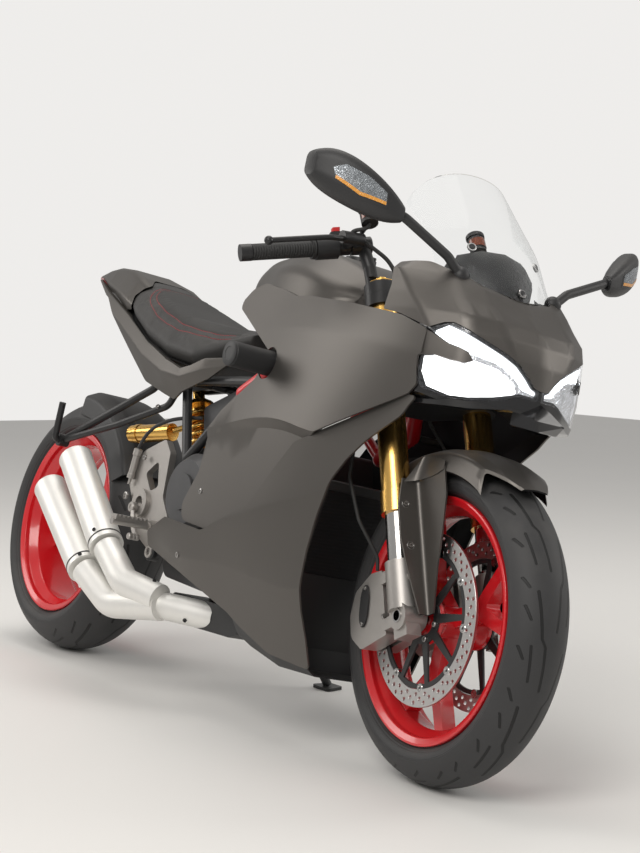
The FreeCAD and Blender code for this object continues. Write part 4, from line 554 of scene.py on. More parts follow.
def tyre_finish(name, wheel, radius, pitches, grooves, rings):
    """Rubber with a repeating tread, whose grooves are painted near-black as painted shade.

    Grooves are (start u, start v, end u, end v, half width), u in pitches round the tyre and v in millimetres
    from its middle. Rings are radii of the fine ribs on the sidewall."""
    tree = finish(name, (0.030, 0.030, 0.031), 0.60, spread=0.2, shade=0.3, scale=14.0, dust=0.08)
    inputs = (("Location", wheel.translation), ("Rotation", wheel.to_euler("XYZ")),
              ("Vector", own_space(tree)))
    local = add_node(tree, "Mapping", inputs, vector_type="TEXTURE").outputs[0]
    x, y, z = add_node(tree, "SeparateXYZ", ((0, local),)).outputs
    pitch = FULL_TURN * radius / MM / pitches
    turn = times(maths("ARCTAN2", z, x), pitches / FULL_TURN)
    left = times(maths("GREATER_THAN", y, 0.0), 0.5)
    share = maths("FRACT", plus(plus(turn, left), 20.0))
    across = times(maths("ABSOLUTE", y), 1000.0)
    spot = add_node(tree, "CombineXYZ", ((0, times(share, pitch)), (1, across))).outputs[0]
    cut = largest([placed_group(tree, "tread_groove", Point=spot, Start=(u0 * pitch, v0, 0),
                                End=(u1 * pitch, v1, 0), Half_Width=half)["Mask"]
                   for u0, v0, u1, v1, half in grooves])
    reach = maths("SQRT", plus(times(x, x), times(z, z)))
    edge = rings[-1] * MM
    cut = times(cut, smooth_step(reach, edge + TREAD_START, edge + TREAD_FULL))
    gaps = [maths("ABSOLUTE", minus(reach, ring * MM)) for ring in rings]
    ribs = largest([minus(1.0, smooth_step(gap, RIB_TOP, RIB_FOOT)) for gap in gaps])
    depth = bpy.context.scene.motorcycle_sizes.tread_depth
    add_bump(tree, minus(times(ribs, RIB_HEIGHT_SHARE), cut), depth)
    tone = tree.nodes["Principled BSDF"].inputs["Base Color"].links[0].from_socket
    # Painted shade: the grooves are painted near-black, darker than the rubber around them
    feed_shader(tree, {"Base Color": blended(cut, tone, GROOVE_PAINTED_SHADE)})


FRONT_GROOVES = [
    # start u, start v, end u, end v, half width
    (0.04, 6, 0.40, 13, 2.4),
    (0.40, 13, 0.47, 21, 2.4),
    (0.47, 21, 0.86, 30, 2.4),
    (0.10, 30, 0.40, 36, 1.9),
    (0.62, 40, 0.74, 48, 1.8),
    (0.28, 44, 0.38, 52, 1.8),
    (0.90, 42, 0.99, 50, 1.8),
]
REAR_GROOVES = [
    (0.04, 8, 0.42, 20, 2.9),
    (0.42, 20, 0.50, 33, 2.9),
    (0.50, 33, 0.90, 48, 2.9),
    (0.08, 44, 0.40, 58, 2.4),
    (0.60, 60, 0.78, 72, 2.2),
    (0.25, 66, 0.40, 78, 2.2),
]


def make_finishes():
    """Builds the shared groups and every finish."""
    colours = bpy.context.scene.motorcycle_colours
    for make_group in (cloudy_group, grain_group, inner_group, groove_group):
        make_group()
    paint, red, gold = (tuple(c) for c in (colours.body_paint, colours.wheel_paint, colours.fork_gold))
    flake = {"metallic": 0.82, "spread": 0.05, "shade": 0.05, "scale": 3.0, "dust": 0.03, "grain": 0.02,
             "grain_scale": 1500.0}
    finish("body_paint", paint, 0.43, **flake)
    finish("side_shell_paint", paint, 0.43, inner=(1.0, 0.25, 0.2), **flake)
    finish("nose_shell_paint", paint, 0.43, inner=(0.4, 0.9, 0.5), **flake)
    finish("arch_shell_paint", paint, 0.43, inner=(0.3, 0.5, 1.0), **flake)
    finish("wheel_red", red, 0.24, spread=0.05, shade=0.06, coat=0.5, coat_gloss=0.08, dust=0.04)
    finish("frame_red", red, 0.30, spread=0.05, shade=0.06, coat=0.3, coat_gloss=0.12, dust=0.06)
    finish("fork_gold", gold, 0.24, metallic=1.0, shade=0.06, scale=5.0)
    finish("ground_steel", (0.56, 0.55, 0.54), 0.30, metallic=1.0, spread=0.10, scale=20.0, grain=0.03,
           grain_scale=900.0)
    finish("black_metal", (0.022, 0.022, 0.023), 0.40, metallic=0.2, spread=0.08, shade=0.2, dust=0.05,
           grain=0.03, grain_scale=700.0)
    finish("cast_aluminium", (0.40, 0.38, 0.36), 0.44, metallic=0.85, spread=0.12, shade=0.14, scale=16.0,
           dust=0.05, grain=0.08, grain_scale=450.0)
    finish("engine_cast", (0.075, 0.075, 0.078), 0.46, metallic=0.55, spread=0.12, shade=0.25, scale=12.0,
           dust=0.12, grain=0.10, grain_scale=380.0)
    finish("hard_chrome", (0.56, 0.55, 0.54), 0.14, metallic=1.0, shade=0.05)
    finish("black_plastic", (0.020, 0.020, 0.021), 0.50, spread=0.08, shade=0.15, dust=0.06, grain=0.05,
           grain_scale=650.0)
    finish("gloss_black", (0.010, 0.010, 0.011), 0.16, spread=0.05, shade=0.08, dust=0.03, coat=0.4)
    finish("soft_rubber", (0.018, 0.018, 0.018), 0.66, spread=0.08, shade=0.15, dust=0.04, grain=0.08,
           grain_scale=800.0)
    striped_finish("grip_rubber", (0.017, 0.017, 0.017), 0.60, 0.0, "Y", 62.0, 0.6)
    finish("leather_side", tuple(colours.seat_cover), 0.50, spread=0.08, scale=9.0, dust=0.05, grain=0.16,
           grain_scale=620.0, cells=0.8)
    finish("leather_panel", tuple(c * 0.75 for c in colours.seat_cover), 0.60, scale=9.0, dust=0.03,
           grain=0.10, grain_scale=1100.0, cells=0.7)
    finish("thread", tuple(colours.thread), 0.55, spread=0.1, shade=0.15, scale=60.0, grain=0.08,
           grain_scale=2500.0)
    finish("silver_exhaust", (0.82, 0.81, 0.78), 0.48, metallic=0.65, spread=0.10, shade=0.08, scale=8.0,
           grain=0.03, grain_scale=900.0)
    striped_finish("radiator_fins", (0.030, 0.030, 0.032), 0.45, 0.5, "Z", 110.0, 1.2)
    finish("mirror_glass", (0.85, 0.87, 0.88), 0.03, metallic=1.0, spread=0.01, shade=0.02)
    finish("reflector", (0.72, 0.73, 0.75), 0.22, metallic=1.0, spread=0.10, shade=0.35, scale=90.0,
           grain=0.6, grain_scale=160.0, cells=0.9)
    finish("signal_lens", (0.26, 0.28, 0.30), 0.25, metallic=0.6, shade=0.8, scale=150.0, grain=0.6,
           grain_scale=260.0, cells=0.9)
    moulded = {"spread": 0.04, "shade": 0.08, "grain": 0.3, "grain_scale": 220.0, "cells": 0.9}
    finish("amber_lens", (0.75, 0.33, 0.05), 0.20, coat=0.5, **moulded)
    finish("red_lens", (0.45, 0.006, 0.010), 0.15, coat=0.6, **moulded)
    finish("fluid_tint", (0.16, 0.035, 0.012), 0.25, shade=0.15, scale=30.0, coat=0.5)
    finish("red_plastic", (0.55, 0.02, 0.02), 0.38, shade=0.08)
    finish("bare_bolt", (0.36, 0.35, 0.34), 0.30, metallic=1.0, spread=0.12, shade=0.15, scale=40.0)
    finish("black_bolt", (0.030, 0.030, 0.031), 0.36, metallic=0.6, spread=0.12, shade=0.15, scale=40.0)
    clear_finish("clear_screen", (0.96, 0.97, 0.97), 0.02, 1.12)
    clear_finish("lamp_cover", (0.97, 0.98, 1.0), 0.02, 1.15)
    glowing_finish("lamp_main", (1.0, 0.98, 0.95), 2.6)
    glowing_finish("lamp_strip", (0.95, 0.98, 1.0), 2.2)
    tyre_finish("front_rubber", FRONT_WHEEL, 0.300, 9, FRONT_GROOVES, [236, 240, 252, 255])
    tyre_finish("rear_rubber", REAR_WHEEL, 0.315, 8, REAR_GROOVES, [236, 240, 255, 258])


FINISHED_NODES = {
    "front_rubber": "front_tyre",
    "rear_rubber": "rear_tyre",
    "wheel_red": "front_rim rear_rim",
    "frame_red": "trellis_frame",
    "fork_gold": "fork_tubes shock_absorber",
    "hard_chrome": "fork_stanchions front_axle rear_axle swingarm_pivot",
    "ground_steel": "front_discs rear_disc rear_sprocket chain",
    "cast_aluminium": "fork_feet front_calipers rear_caliper footrest_plates footrests",
    "engine_cast": "engine engine_covers",
    "black_metal": "front_disc_carriers triple_clamps handlebars control_levers swingarm subframe "
                   "passenger_hangers exhaust_collector fuel_cap side_stand",
    "silver_exhaust": "silencers",
    "radiator_fins": "radiator",
    "black_plastic": "switchgear fluid_reservoirs dashboard seat_base inner_panels mirrors frame_sliders "
                     "rear_hugger",
    "gloss_black": "lamp_housings",
    "grip_rubber": "grips",
    "soft_rubber": "brake_hoses",
    "leather_side": "seat",
    "clear_screen": "windscreen",
    "lamp_cover": "headlamps",
    "body_paint": "fuel_tank seat_cowl",
    "side_shell_paint": "fairing_upper fairing_lower tail_panels",
    "nose_shell_paint": "nose_cowl",
    "arch_shell_paint": "front_fender",
}
NODE_FINISH = {node: label for label, nodes in FINISHED_NODES.items() for node in nodes.split()}
THIN_SHELLS = ("fairing_upper", "fairing_lower", "nose_cowl", "fuel_tank", "seat_cowl", "tail_panels",
               "front_fender", "mirrors", "windscreen")
SHELL_CREASE, PART_CREASE = math.radians(36), math.radians(28)
NODE_WELD = 0.00003


class MOTORCYCLE_OT_finishes(bpy.types.Operator):
    """Give every piece of the frame its finish and smooth its curved faces"""

    bl_idname = "motorcycle.finishes"
    bl_label = "Finishes"

    def execute(self, context):
        make_finishes()
        missing = sorted(set(NODES) - set(NODE_FINISH))
        if missing:
            raise RuntimeError(f"no finish is named for {missing}")
        for name, node in NODES.items():
            node.data.polygons.foreach_set("use_smooth", [True] * len(node.data.polygons))
            node.data.materials.clear()
            node.data.materials.append(MATERIALS[NODE_FINISH[name]])
            node.modifiers.new("weld", "WELD").merge_threshold = NODE_WELD
            split = node.modifiers.new("split", "EDGE_SPLIT")
            split.split_angle = SHELL_CREASE if name in THIN_SHELLS else PART_CREASE
            if name not in THIN_SHELLS:
                node.modifiers.new("weigh", "WEIGHTED_NORMAL").keep_sharp = True
        return {"FINISHED"}


# The seat

SEAM = [(650, 56), (602, 84), (560, 106), (500, 118), (430, 122), (357, 121), (289, 114), (243, 98),
        (224, 72), (216, 40), (214, 12)]
SEAM_CURVE_STEPS = 12
SEAM_BACK_START = 5
ROW_GAP = 11.0
PAD_EDGE_X = [112, 150, 220, 330, 450, 560, 620, 668]
PAD_EDGE_Z = [884, 866, 836, 792, 754, 738, 768, 796]
PAD_EASE_HEIGHT = 30.0
PAD_VOXEL, PAD_PRESSURE, PAD_FRAMES = 0.005, 4.0, 20
UNDERSIDE_HEIGHT, RAY_HEIGHT = 760, 1100
SEAM_REACH, SEAM_WIDTH, ROW_WIDTH, ROW_DEPTH_SHARE = 16, 2.2, 3.0, 0.35
PANEL_LEAST_RISE = 0.3
STITCH_SHARE, EVENED_STITCHES = 0.72, 3


def seam_line(inset, count=260):
    """The sewn line on the seat from one front end to the other, as even (x, y) points in upright mm."""
    right = [Vector((x, -(y - inset))) for x, y in SEAM]
    right = [p + Vector((inset if k > SEAM_BACK_START else 0, 0)) for k, p in enumerate(right)]
    corners = right + [Vector((p.x, -p.y)) for p in reversed(right)]
    spots = []
    for before, corner, after in zip(corners, corners[1:], corners[2:]):
        a, c = (before + corner) / 2, (corner + after) / 2
        for step in range(SEAM_CURVE_STEPS):
            t = step / SEAM_CURVE_STEPS
            spots.append(a * (1 - t) ** 2 + corner * 2 * t * (1 - t) + c * t * t)
    lengths = [0.0]
    for a, b in zip(spots, spots[1:]):
        lengths.append(lengths[-1] + (b - a).length)
    even = np.linspace(0, lengths[-1], count)
    return np.stack([np.interp(even, lengths, [p[k] for p in spots]) for k in range(2)], 1)


def swelled(pad, before, swell):
    """Where the pad's points go when pressure swells it, held still along its lower edge."""
    cloth = pad.modifiers.new("cloth", "CLOTH")
    cloth.settings.use_pressure = True
    cloth.settings.uniform_pressure_force = PAD_PRESSURE
    cloth.settings.effector_weights.gravity = 0.0
    for number in range(1, PAD_FRAMES + 1):
        bpy.context.scene.frame_set(number)
    evaluated = pad.evaluated_get(bpy.context.evaluated_depsgraph_get())
    move = np.array([v.co for v in evaluated.data.vertices]) - before
    pad.modifiers.remove(cloth)
    bpy.context.scene.frame_set(1)
    size = np.linalg.norm(move, axis=1)
    move *= (np.minimum(size, swell) / np.maximum(size, 1e-9))[:, None]
    upright = np.array([list((LEANED.inverted() @ Vector(p)) * PER_METRE) for p in before])
    low = np.interp(upright[:, 0], PAD_EDGE_X, PAD_EDGE_Z)
    rise = np.clip((upright[:, 2] - low) / PAD_EASE_HEIGHT, 0, 1)
    return before + move * (rise ** 2)[:, None]


def padded_mesh(swell):
    """The pad as a closed, finely divided mesh, swelled by a cloth simulation, in the scene's metres."""
    bm = node_mesh("seat", Matrix.Identity(4))
    mesh = bpy.data.meshes.new("pad")
    bm.to_mesh(mesh)
    bm.free()
    pad = bpy.data.objects.new("seat_pad", mesh)
    bpy.context.scene.collection.objects.link(pad)
    bpy.context.view_layer.objects.active = pad
    remesh = pad.modifiers.new("remesh", "REMESH")
    remesh.mode, remesh.voxel_size = "VOXEL", PAD_VOXEL
    ease = pad.modifiers.new("ease", "SMOOTH")
    ease.iterations, ease.factor = 6, 0.5
    for name in ("remesh", "ease"):
        bpy.ops.object.modifier_apply(modifier=name)
    before = np.array([v.co for v in pad.data.vertices])
    for vert, place in zip(pad.data.vertices, swelled(pad, before, swell)):
        vert.co = place
    fine = pad.modifiers.new("fine", "SUBSURF")
    fine.levels = fine.render_levels = 1
    bpy.ops.object.modifier_apply(modifier="fine")
    return pad


class MOTORCYCLE_OT_seat(bpy.types.Operator):
    """Make the rider's pad with its pulled-in seams and its two rows of stitches"""

    bl_idname = "motorcycle.seat"
    bl_label = "Seat"

    def execute(self, context):
        sizes = context.scene.motorcycle_sizes
        pad = padded_mesh(sizes.pad_swell)
        mesh = pad.data
        self.pull_seams(mesh, sizes.seam_depth)
        mesh.materials.clear()
        for label in ("leather_side", "leather_panel"):
            mesh.materials.append(MATERIALS[label])
        self.mark_panel(mesh)
        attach(pad, "chassis")
        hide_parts("seat")
        self.sew(pad, [seam_line(0.0), seam_line(ROW_GAP)], sizes.stitch_pitch)
        return {"FINISHED"}

    def pull_seams(self, mesh, depth):
        """Pulls the cover in between the two rows of stitches, and a little along the outer one."""
        middle = ROW_GAP / 2
        dense = seam_line(middle, 900)
        upright = LEANED.inverted()
        for vert in mesh.vertices:
            spot = upright @ vert.co * PER_METRE
            gap = float(np.min(np.hypot(dense[:, 0] - spot.x, dense[:, 1] - spot.y)))
            if spot.z > UNDERSIDE_HEIGHT and gap < SEAM_REACH:
                between = math.exp(-((gap - middle) / SEAM_WIDTH) ** 2)
                beside = math.exp(-(gap / ROW_WIDTH) ** 2)
                pull = depth * (between + ROW_DEPTH_SHARE * beside)
                vert.co -= LEANED.to_3x3() @ Vector((0, 0, 1)) * pull

    def mark_panel(self, mesh):
        """Gives the faces inside the inner row the panel's leather."""
        upright = LEANED.inverted()
        inner = seam_line(ROW_GAP, 120)
        x, y = (np.append(inner[:, k], inner[0, k]) for k in range(2))
        slope = (x[1:] - x[:-1]) / (y[1:] - y[:-1] + 1e-12)
        for face in mesh.polygons:
            face.use_smooth = True
            spot = upright @ face.center * PER_METRE
            if (upright.to_3x3() @ face.normal).z < PANEL_LEAST_RISE:
                continue
            level = (y[:-1] > spot.y) != (y[1:] > spot.y)
            crossings = level & (spot.x < slope * (spot.y - y[:-1]) + x[:-1])
            face.material_index = int(crossings.sum() % 2)

    def sew(self, pad, rows, pitch):
        """Lays short raised stitches on the cover along each row."""
        tree = BVHTree.FromObject(pad, bpy.context.evaluated_depsgraph_get())
        down = LEANED.to_3x3() @ Vector((0, 0, -1))
        bm = bmesh.new()
        for row in rows:
            count = int(float(np.sum(np.hypot(*np.diff(row, axis=0).T))) / (pitch / MM))
            hits = []
            for spot in np.linspace(0, len(row) - 1, count + 1):
                low = int(min(spot, len(row) - 2))
                x, y = row[low] + (row[low + 1] - row[low]) * (spot - low)
                hits.append(tree.ray_cast(at(LEANED, x, y, RAY_HEIGHT), down)[0])
            hits = [hit for hit in hits if hit is not None]
            even = [Vector(np.mean(hits[max(k - EVENED_STITCHES, 0):k + EVENED_STITCHES + 1], axis=0))
                    for k in range(len(hits))]
            hits = [tree.find_nearest(place)[:2] for place in even]
            for (a, normal), (b, _) in zip(hits, hits[1:]):
                run = b - a
                if run.length > 2 * pitch:
                    continue
                middle = (a + b) / 2 + normal * 0.0003
                turn = run.to_track_quat("Z", "Y").to_matrix().to_4x4()
                half = run.length * (PER_METRE / 2) * STITCH_SHARE
                add_turned(bm, Matrix.Translation(middle) @ turn,
                           [(0, -half), (0.55, -half * 0.7), (0.75, 0), (0.55, half * 0.7), (0, half)], 6)
        piece = shown(bm, "seat_stitches", "thread", "chassis")
        piece.parent = pad
        piece.matrix_parent_inverse = pad.matrix_world.inverted()


# Brake discs

DISC_OUTER, DISC_INNER, DISC_THICKNESS, DISC_OFFSET = 0.160, 0.127, 0.005, 0.062
DISC_WAVES = 9
BUTTON_PROFILE = [(0, -4), (8.5, -4), (8.5, 4.6), (7.6, 5.4), (4.6, 5.4), (4.2, 4.4), (2.6, 4.4), (2.4, 2.8),
                  (0, 2.8)]


def drilled_disc(groups, hole):
    """A flat ring with slanting groups of three holes and a scalloped inner edge, as a mesh about Z."""
    curve = bpy.data.curves.new("disc", "CURVE")
    curve.dimensions, curve.fill_mode = "2D", "BOTH"
    curve.extrude, curve.bevel_depth, curve.bevel_resolution = DISC_THICKNESS / 2 - 0.0003, 0.0003, 0

    def ring(radius, sides, centre=(0, 0), swell=0.0):
        spline = curve.splines.new("POLY")
        spline.points.add(sides - 1)
        for k, point in enumerate(spline.points):
            angle = FULL_TURN * k / sides
            x, y = around(radius + swell * math.cos(DISC_WAVES * angle), angle)
            point.co = (centre[0] + x, centre[1] + y, 0, 1)
        spline.use_cyclic_u = True

    ring(DISC_OUTER - 0.0004, 180)
    ring(DISC_INNER + 0.0006, 180, swell=0.0006)
    for k in range(groups):
        for share, turn in ((0.28, 0.0), (0.52, 0.42), (0.76, 0.84)):
            radius = DISC_INNER + (DISC_OUTER - DISC_INNER) * share
            ring(hole, 12, around(radius, FULL_TURN * (k + turn) / groups))
    return curve_mesh(curve)


class MOTORCYCLE_OT_discs(bpy.types.Operator):
    """Drill the front brake discs and add their floating buttons and bolts"""

    bl_idname = "motorcycle.discs"
    bl_label = "Brake discs"

    def execute(self, context):
        sizes = context.scene.motorcycle_sizes
        discs, small = bmesh.new(), bmesh.new()
        for side in SIDES:
            disc = drilled_disc(sizes.drill_groups, sizes.drill_radius)
            disc.transform(FRONT_WHEEL @ Matrix.Translation((0, side * DISC_OFFSET, 0))
                           @ Matrix.Rotation(math.radians(90), 4, "X"))
            take_mesh(discs, disc)
            for place in ring_places(FRONT_WHEEL, (0, 0), 124.5, side * 60, DISC_WAVES, math.radians(17)):
                add_turned(small, place, BUTTON_PROFILE, 20)
            for place in ring_places(FRONT_WHEEL, (0, 0), 38, side * 64, 6, math.radians(30)):
                add_bolt(small, place, 5.5, 4.5, 1)
        piece = shown(discs, "drilled_discs", "ground_steel", "front_wheel", 30)
        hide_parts("front_discs")
        shown(small, "disc_buttons", "hard_chrome bare_bolt", "front_wheel")
        return {"FINISHED"}


# Lamps, mirrors and lenses. Outlines are (y, z) in upright millimetres.

DIVIDE = [(-20, 717), (36, 726), (49, 739), (62, 750), (87, 764), (128, 771), (185, 771)]
DIVIDE_BAND = 9.0
GLOW_DEPTH, GLOW_FACING = 8.5, 0.12
LIT_LAMP_SIDE = -50
SIGNAL_RIM = [(296, 1006), (298, 1038), (332, 1062), (374, 1076), (393, 1066), (386, 1038), (346, 1013)]
SIGNAL_LENS = [(300, 1012), (302, 1034), (335, 1056), (372, 1070), (388, 1062), (382, 1042), (345, 1020)]
AMBER_INNER = [(301, 1012), (345, 1020), (345, 1026), (301, 1018)]
AMBER_OUTER = [(345, 1020), (383, 1042), (383, 1048), (345, 1026)]
MIRROR_GLASS = [(286, 1000), (286, 1036), (330, 1068), (380, 1086), (400, 1068), (396, 1044), (350, 1012)]
MIRROR_SKINS = {
    # piece: finishes, facing, and each skin's outline, lift and finish
    "mirror_signals": ("black_plastic signal_lens amber_lens", 1, (
        (SIGNAL_RIM, 0.5, 0), (SIGNAL_LENS, 1.1, 1), (AMBER_INNER, 1.6, 2), (AMBER_OUTER, 1.6, 2))),
    "mirror_glasses": ("mirror_glass", -1, ((MIRROR_GLASS, 0.6, 0),)),
}
TAIL_LENS, TAIL_LENS_BEHIND = [(-44, 915), (44, 915), (30, 958), (-30, 958)], -0.08


def divide_height(y):
    """Height of the line between the slim strip and the main lens, at a distance from the nose's middle."""
    return float(np.interp(abs(y), [p[0] for p in DIVIDE], [p[1] for p in DIVIDE]))


class MOTORCYCLE_OT_lamps(bpy.types.Operator):
    """Light the lamps behind their clear covers and line their bowls"""

    bl_idname = "motorcycle.lamps"
    bl_label = "Lamps"

    def execute(self, context):
        glow = node_mesh("headlamps", LEANED)
        away = [f for f in glow.faces if f.normal.x < GLOW_FACING]
        bmesh.ops.delete(glow, geom=away, context="FACES")
        for side in SIDES:
            for (y0, z0), (y1, z1) in zip(DIVIDE, DIVIDE[1:]):
                for shift in (0.0, DIVIDE_BAND):
                    normal = Vector((0, -(z1 - z0) * side, y1 - y0)).normalized()
                    point = Vector((0, side * y0, z0 + shift)) * MM
                    near = [f for f in glow.faces if f.calc_center_median().y * side > 0]
                    verts = list({v for f in near for v in f.verts})
                    edges = list({e for f in near for e in f.edges})
                    bmesh.ops.bisect_plane(
                        glow, geom=verts + edges + near, plane_co=point, plane_no=normal, dist=1e-6)
        glow.normal_update()
        for vert in glow.verts:
            vert.co -= vert.normal * GLOW_DEPTH * MM
        for face in glow.faces:
            centre = face.calc_center_median() * PER_METRE
            rise = centre.z - divide_height(centre.y)
            main = 2 if centre.y < LIT_LAMP_SIDE else 1
            face.material_index = 0 if rise > DIVIDE_BAND else 1 if rise > 0 else main
        bmesh.ops.transform(glow, matrix=LEANED, verts=glow.verts)
        shown(glow, "lamp_glow", "lamp_strip reflector lamp_main", "chassis", 40,
              thickness=0.001)
        self.lenses()
        return {"FINISHED"}

    def lenses(self):
        """Turn signals in the mirrors, the mirrors' glass, and the tail's red lens."""
        for name, (finishes, facing, skins) in MIRROR_SKINS.items():
            bm = bmesh.new()
            for side in SIDES:
                for outline, lift, slot in skins:
                    add_skin(bm, "mirrors", facing, 0.2, [(side * y, z) for y, z in outline], lift, slot)
            shown(bm, name, finishes, "chassis", 60, weld=False, thickness=0.0004)
        bm = bmesh.new()
        add_skin(bm, "seat_cowl", -1, 0.3, TAIL_LENS, 0.8, behind=TAIL_LENS_BEHIND)
        shown(bm, "tail_lens", "red_lens", "chassis", 60, weld=False, thickness=0.0006)


# Shock spring, fasteners and controls

SPRING_RADIUS, SPRING_WIRE, SPRING_STEPS, SPRING_INSET = 29, 0.0048, 16, 5
SHOCK_LOW, SHOCK_HIGH = Vector((536, -20, 478)), Vector((424, -20, 690))
SPRING_START, SPRING_END = 0.185, 0.755


class MOTORCYCLE_OT_spring(bpy.types.Operator):
    """Wind the shock absorber's spring between its seats and add the reservoir's cap"""

    bl_idname = "motorcycle.spring"
    bl_label = "Shock spring"

    def execute(self, context):
        axis = SHOCK_HIGH - SHOCK_LOW
        start, end = SHOCK_LOW + axis * SPRING_START, SHOCK_LOW + axis * SPRING_END
        rise = (end - start).length - 2 * SPRING_INSET
        turns = context.scene.motorcycle_sizes.spring_turns
        steps = turns * SPRING_STEPS
        points = [(*around(SPRING_RADIUS, FULL_TURN * turns * k / steps), SPRING_INSET + rise * k / steps)
                  for k in range(steps + 1)]
        bm = bmesh.new()
        add_cable(bm, aimed(LEANED, start, axis), points, SPRING_WIRE)
        shown(bm, "shock_spring", "fork_gold", "chassis")
        bm = bmesh.new()
        cap = aimed(LEANED, (300, -95, 552), (-124, -33, -20))
        add_turned(bm, cap, [(0, -2), (20, -2), (20, 3), (18, 5), (8, 5), (7, 3.5), (0, 3.5)], 28)
        shown(bm, "reservoir_cap", "fork_gold", "chassis")
        return {"FINISHED"}


SILENCER_BOLTS = [
    # x, y, z and direction in upright millimetres, head radius, head height
    (488, -245, 319, (0.24, -0.88, 0.41), 4.5, 3),
    (460, -253, 259, (0.37, -0.62, 0.69), 4.5, 3),
    (685, -181, 240, (0.22, -0.15, 0.96), 4.5, 3),
    (762, -133, 173, (0.44, -0.68, -0.58), 4.5, 3),
]
PANEL_BOLTS = [
    # the same, on both sides
    (827, 198, 448, (0, 1, 0), 6.0, 2.2),
    (799, 206, 308, (0, 0.97, -0.23), 6.0, 2.2),
    (457, 132, 620, (0.06, 0.88, 0.48), 5.5, 4),
    (448, 162, 407, (0, 1, 0), 9.0, 3),
    (500, 162, 500, (0, 1, 0), 6.0, 4),
    (590, 162, 335, (0, 1, 0), 6.0, 4),
]
FORK_BOLTS = [
    # the same, in the fork's millimetres
    (-3, 122, 322, (-1, 0, 0), 5.0, 5),
    (56, 111, 778, (1, 0.3, 0), 5.0, 6),
    (56, 111, 945, (1, 0.3, 0), 5.0, 6),
]
COVER_CIRCLES = [
    # centre (x, z), radius and y of the bolt circles of the engine's covers
    ((700, 440), 79, -144),
    ((760, 400), 75, 138),
]
GUARD_BOLTS, GUARD_FACING = ((1418, -119, 497), (1451, -114, 424)), (0.91, -0.09, 0.41)
GUARD_PROFILE = [(0, -1), (8, -1), (8, 0.8), (7.2, 1.4), (6.2, 0.6), (4.4, 0.6), (4.2, 3), (2.2, 3), (2, 1),
                 (0, 1)]
FORK_CAP_PROFILE = [(0, -1), (26, -1), (26, 3), (24, 5), (12, 5), (11, 8), (5, 8), (4, 5), (0, 5)]


class MOTORCYCLE_OT_fasteners(bpy.types.Operator):
    """Set the bolts of covers, panels, silencers, fork and calipers"""

    bl_idname = "motorcycle.fasteners"
    bl_label = "Fasteners"

    def add_pairs(self, bm, place, bolts):
        """Adds the bolts of a table on both sides of a place."""
        for x, y, z, way, radius, height in bolts:
            for side in SIDES:
                add_bolt(bm, aimed(place, (x, side * y, z), (way[0], side * way[1], way[2])), radius, height)

    def execute(self, context):
        bm = bmesh.new()
        for x, y, z, way, radius, height in SILENCER_BOLTS:
            add_bolt(bm, aimed(LEANED, (x, y, z), way), radius, height, 1)
        self.add_pairs(bm, LEANED, PANEL_BOLTS)
        for centre, radius, y in COVER_CIRCLES:
            for place in ring_places(LEANED, centre, radius, y, 9, 0.3):
                add_bolt(bm, place, 5.0, 5.0)
        shown(bm, "body_bolts", "bare_bolt black_bolt", "chassis")
        bm = bmesh.new()
        self.add_pairs(bm, FORK, FORK_BOLTS)
        to_fork = FORK.inverted() @ LEANED
        way = to_fork.to_3x3() @ Vector(GUARD_FACING)
        for spot in GUARD_BOLTS:
            place = to_fork @ (Vector(spot) * MM) / MM
            for side in SIDES:
                near = aimed(FORK, (place.x, -side * place.y, place.z), (way.x, -side * way.y, way.z))
                add_turned(bm, near, GUARD_PROFILE, 20)
        for side in SIDES:
            add_turned(bm, aimed(FORK, (34, side * 103, 984), (0, 0, 1)), FORK_CAP_PROFILE, 32, 1)
        for side in SIDES:
            self.caliper_pad(bm, side)
        shown(bm, "fork_bolts", "bare_bolt fork_gold black_metal", "steering")
        return {"FINISHED"}

    def caliper_pad(self, bm, side):
        """The long dark cover on a caliper's outer face, with its two bolts."""
        low, high = Vector((-98, side * 106.5, 333)), Vector((-78, side * 106.5, 400))
        out = Vector((0, side, 0))
        turn = Matrix(((high - low).normalized(), (high - low).cross(out).normalized(), out))
        place = FORK @ Matrix.Translation((low + high) / 2 * MM) @ turn.transposed().to_4x4()
        angles = [math.pi * k / 12 for k in range(24)]
        outline = [(32 * math.cos(a) + math.copysign(8, math.cos(a)), 14 * math.sin(a)) for a in angles]
        add_slab(bm, place, outline, -1, 3.0, 2)
        for x in (-34, 34):
            add_bolt(bm, place @ Matrix.Translation((x * MM, 0, 0.003)), 4.2, 2.6)


SWITCHES = [
    # share along the bar, height and reach from it, half width and half height
    (0.25, 36, 6, 8, 7),
    (0.25, 26, 4, 12, 10),
    (0.36, 20, -12, 7, 6),
    (0.33, 3, -23, 8, 8),
]
HOSE_RADIUS = 0.0042


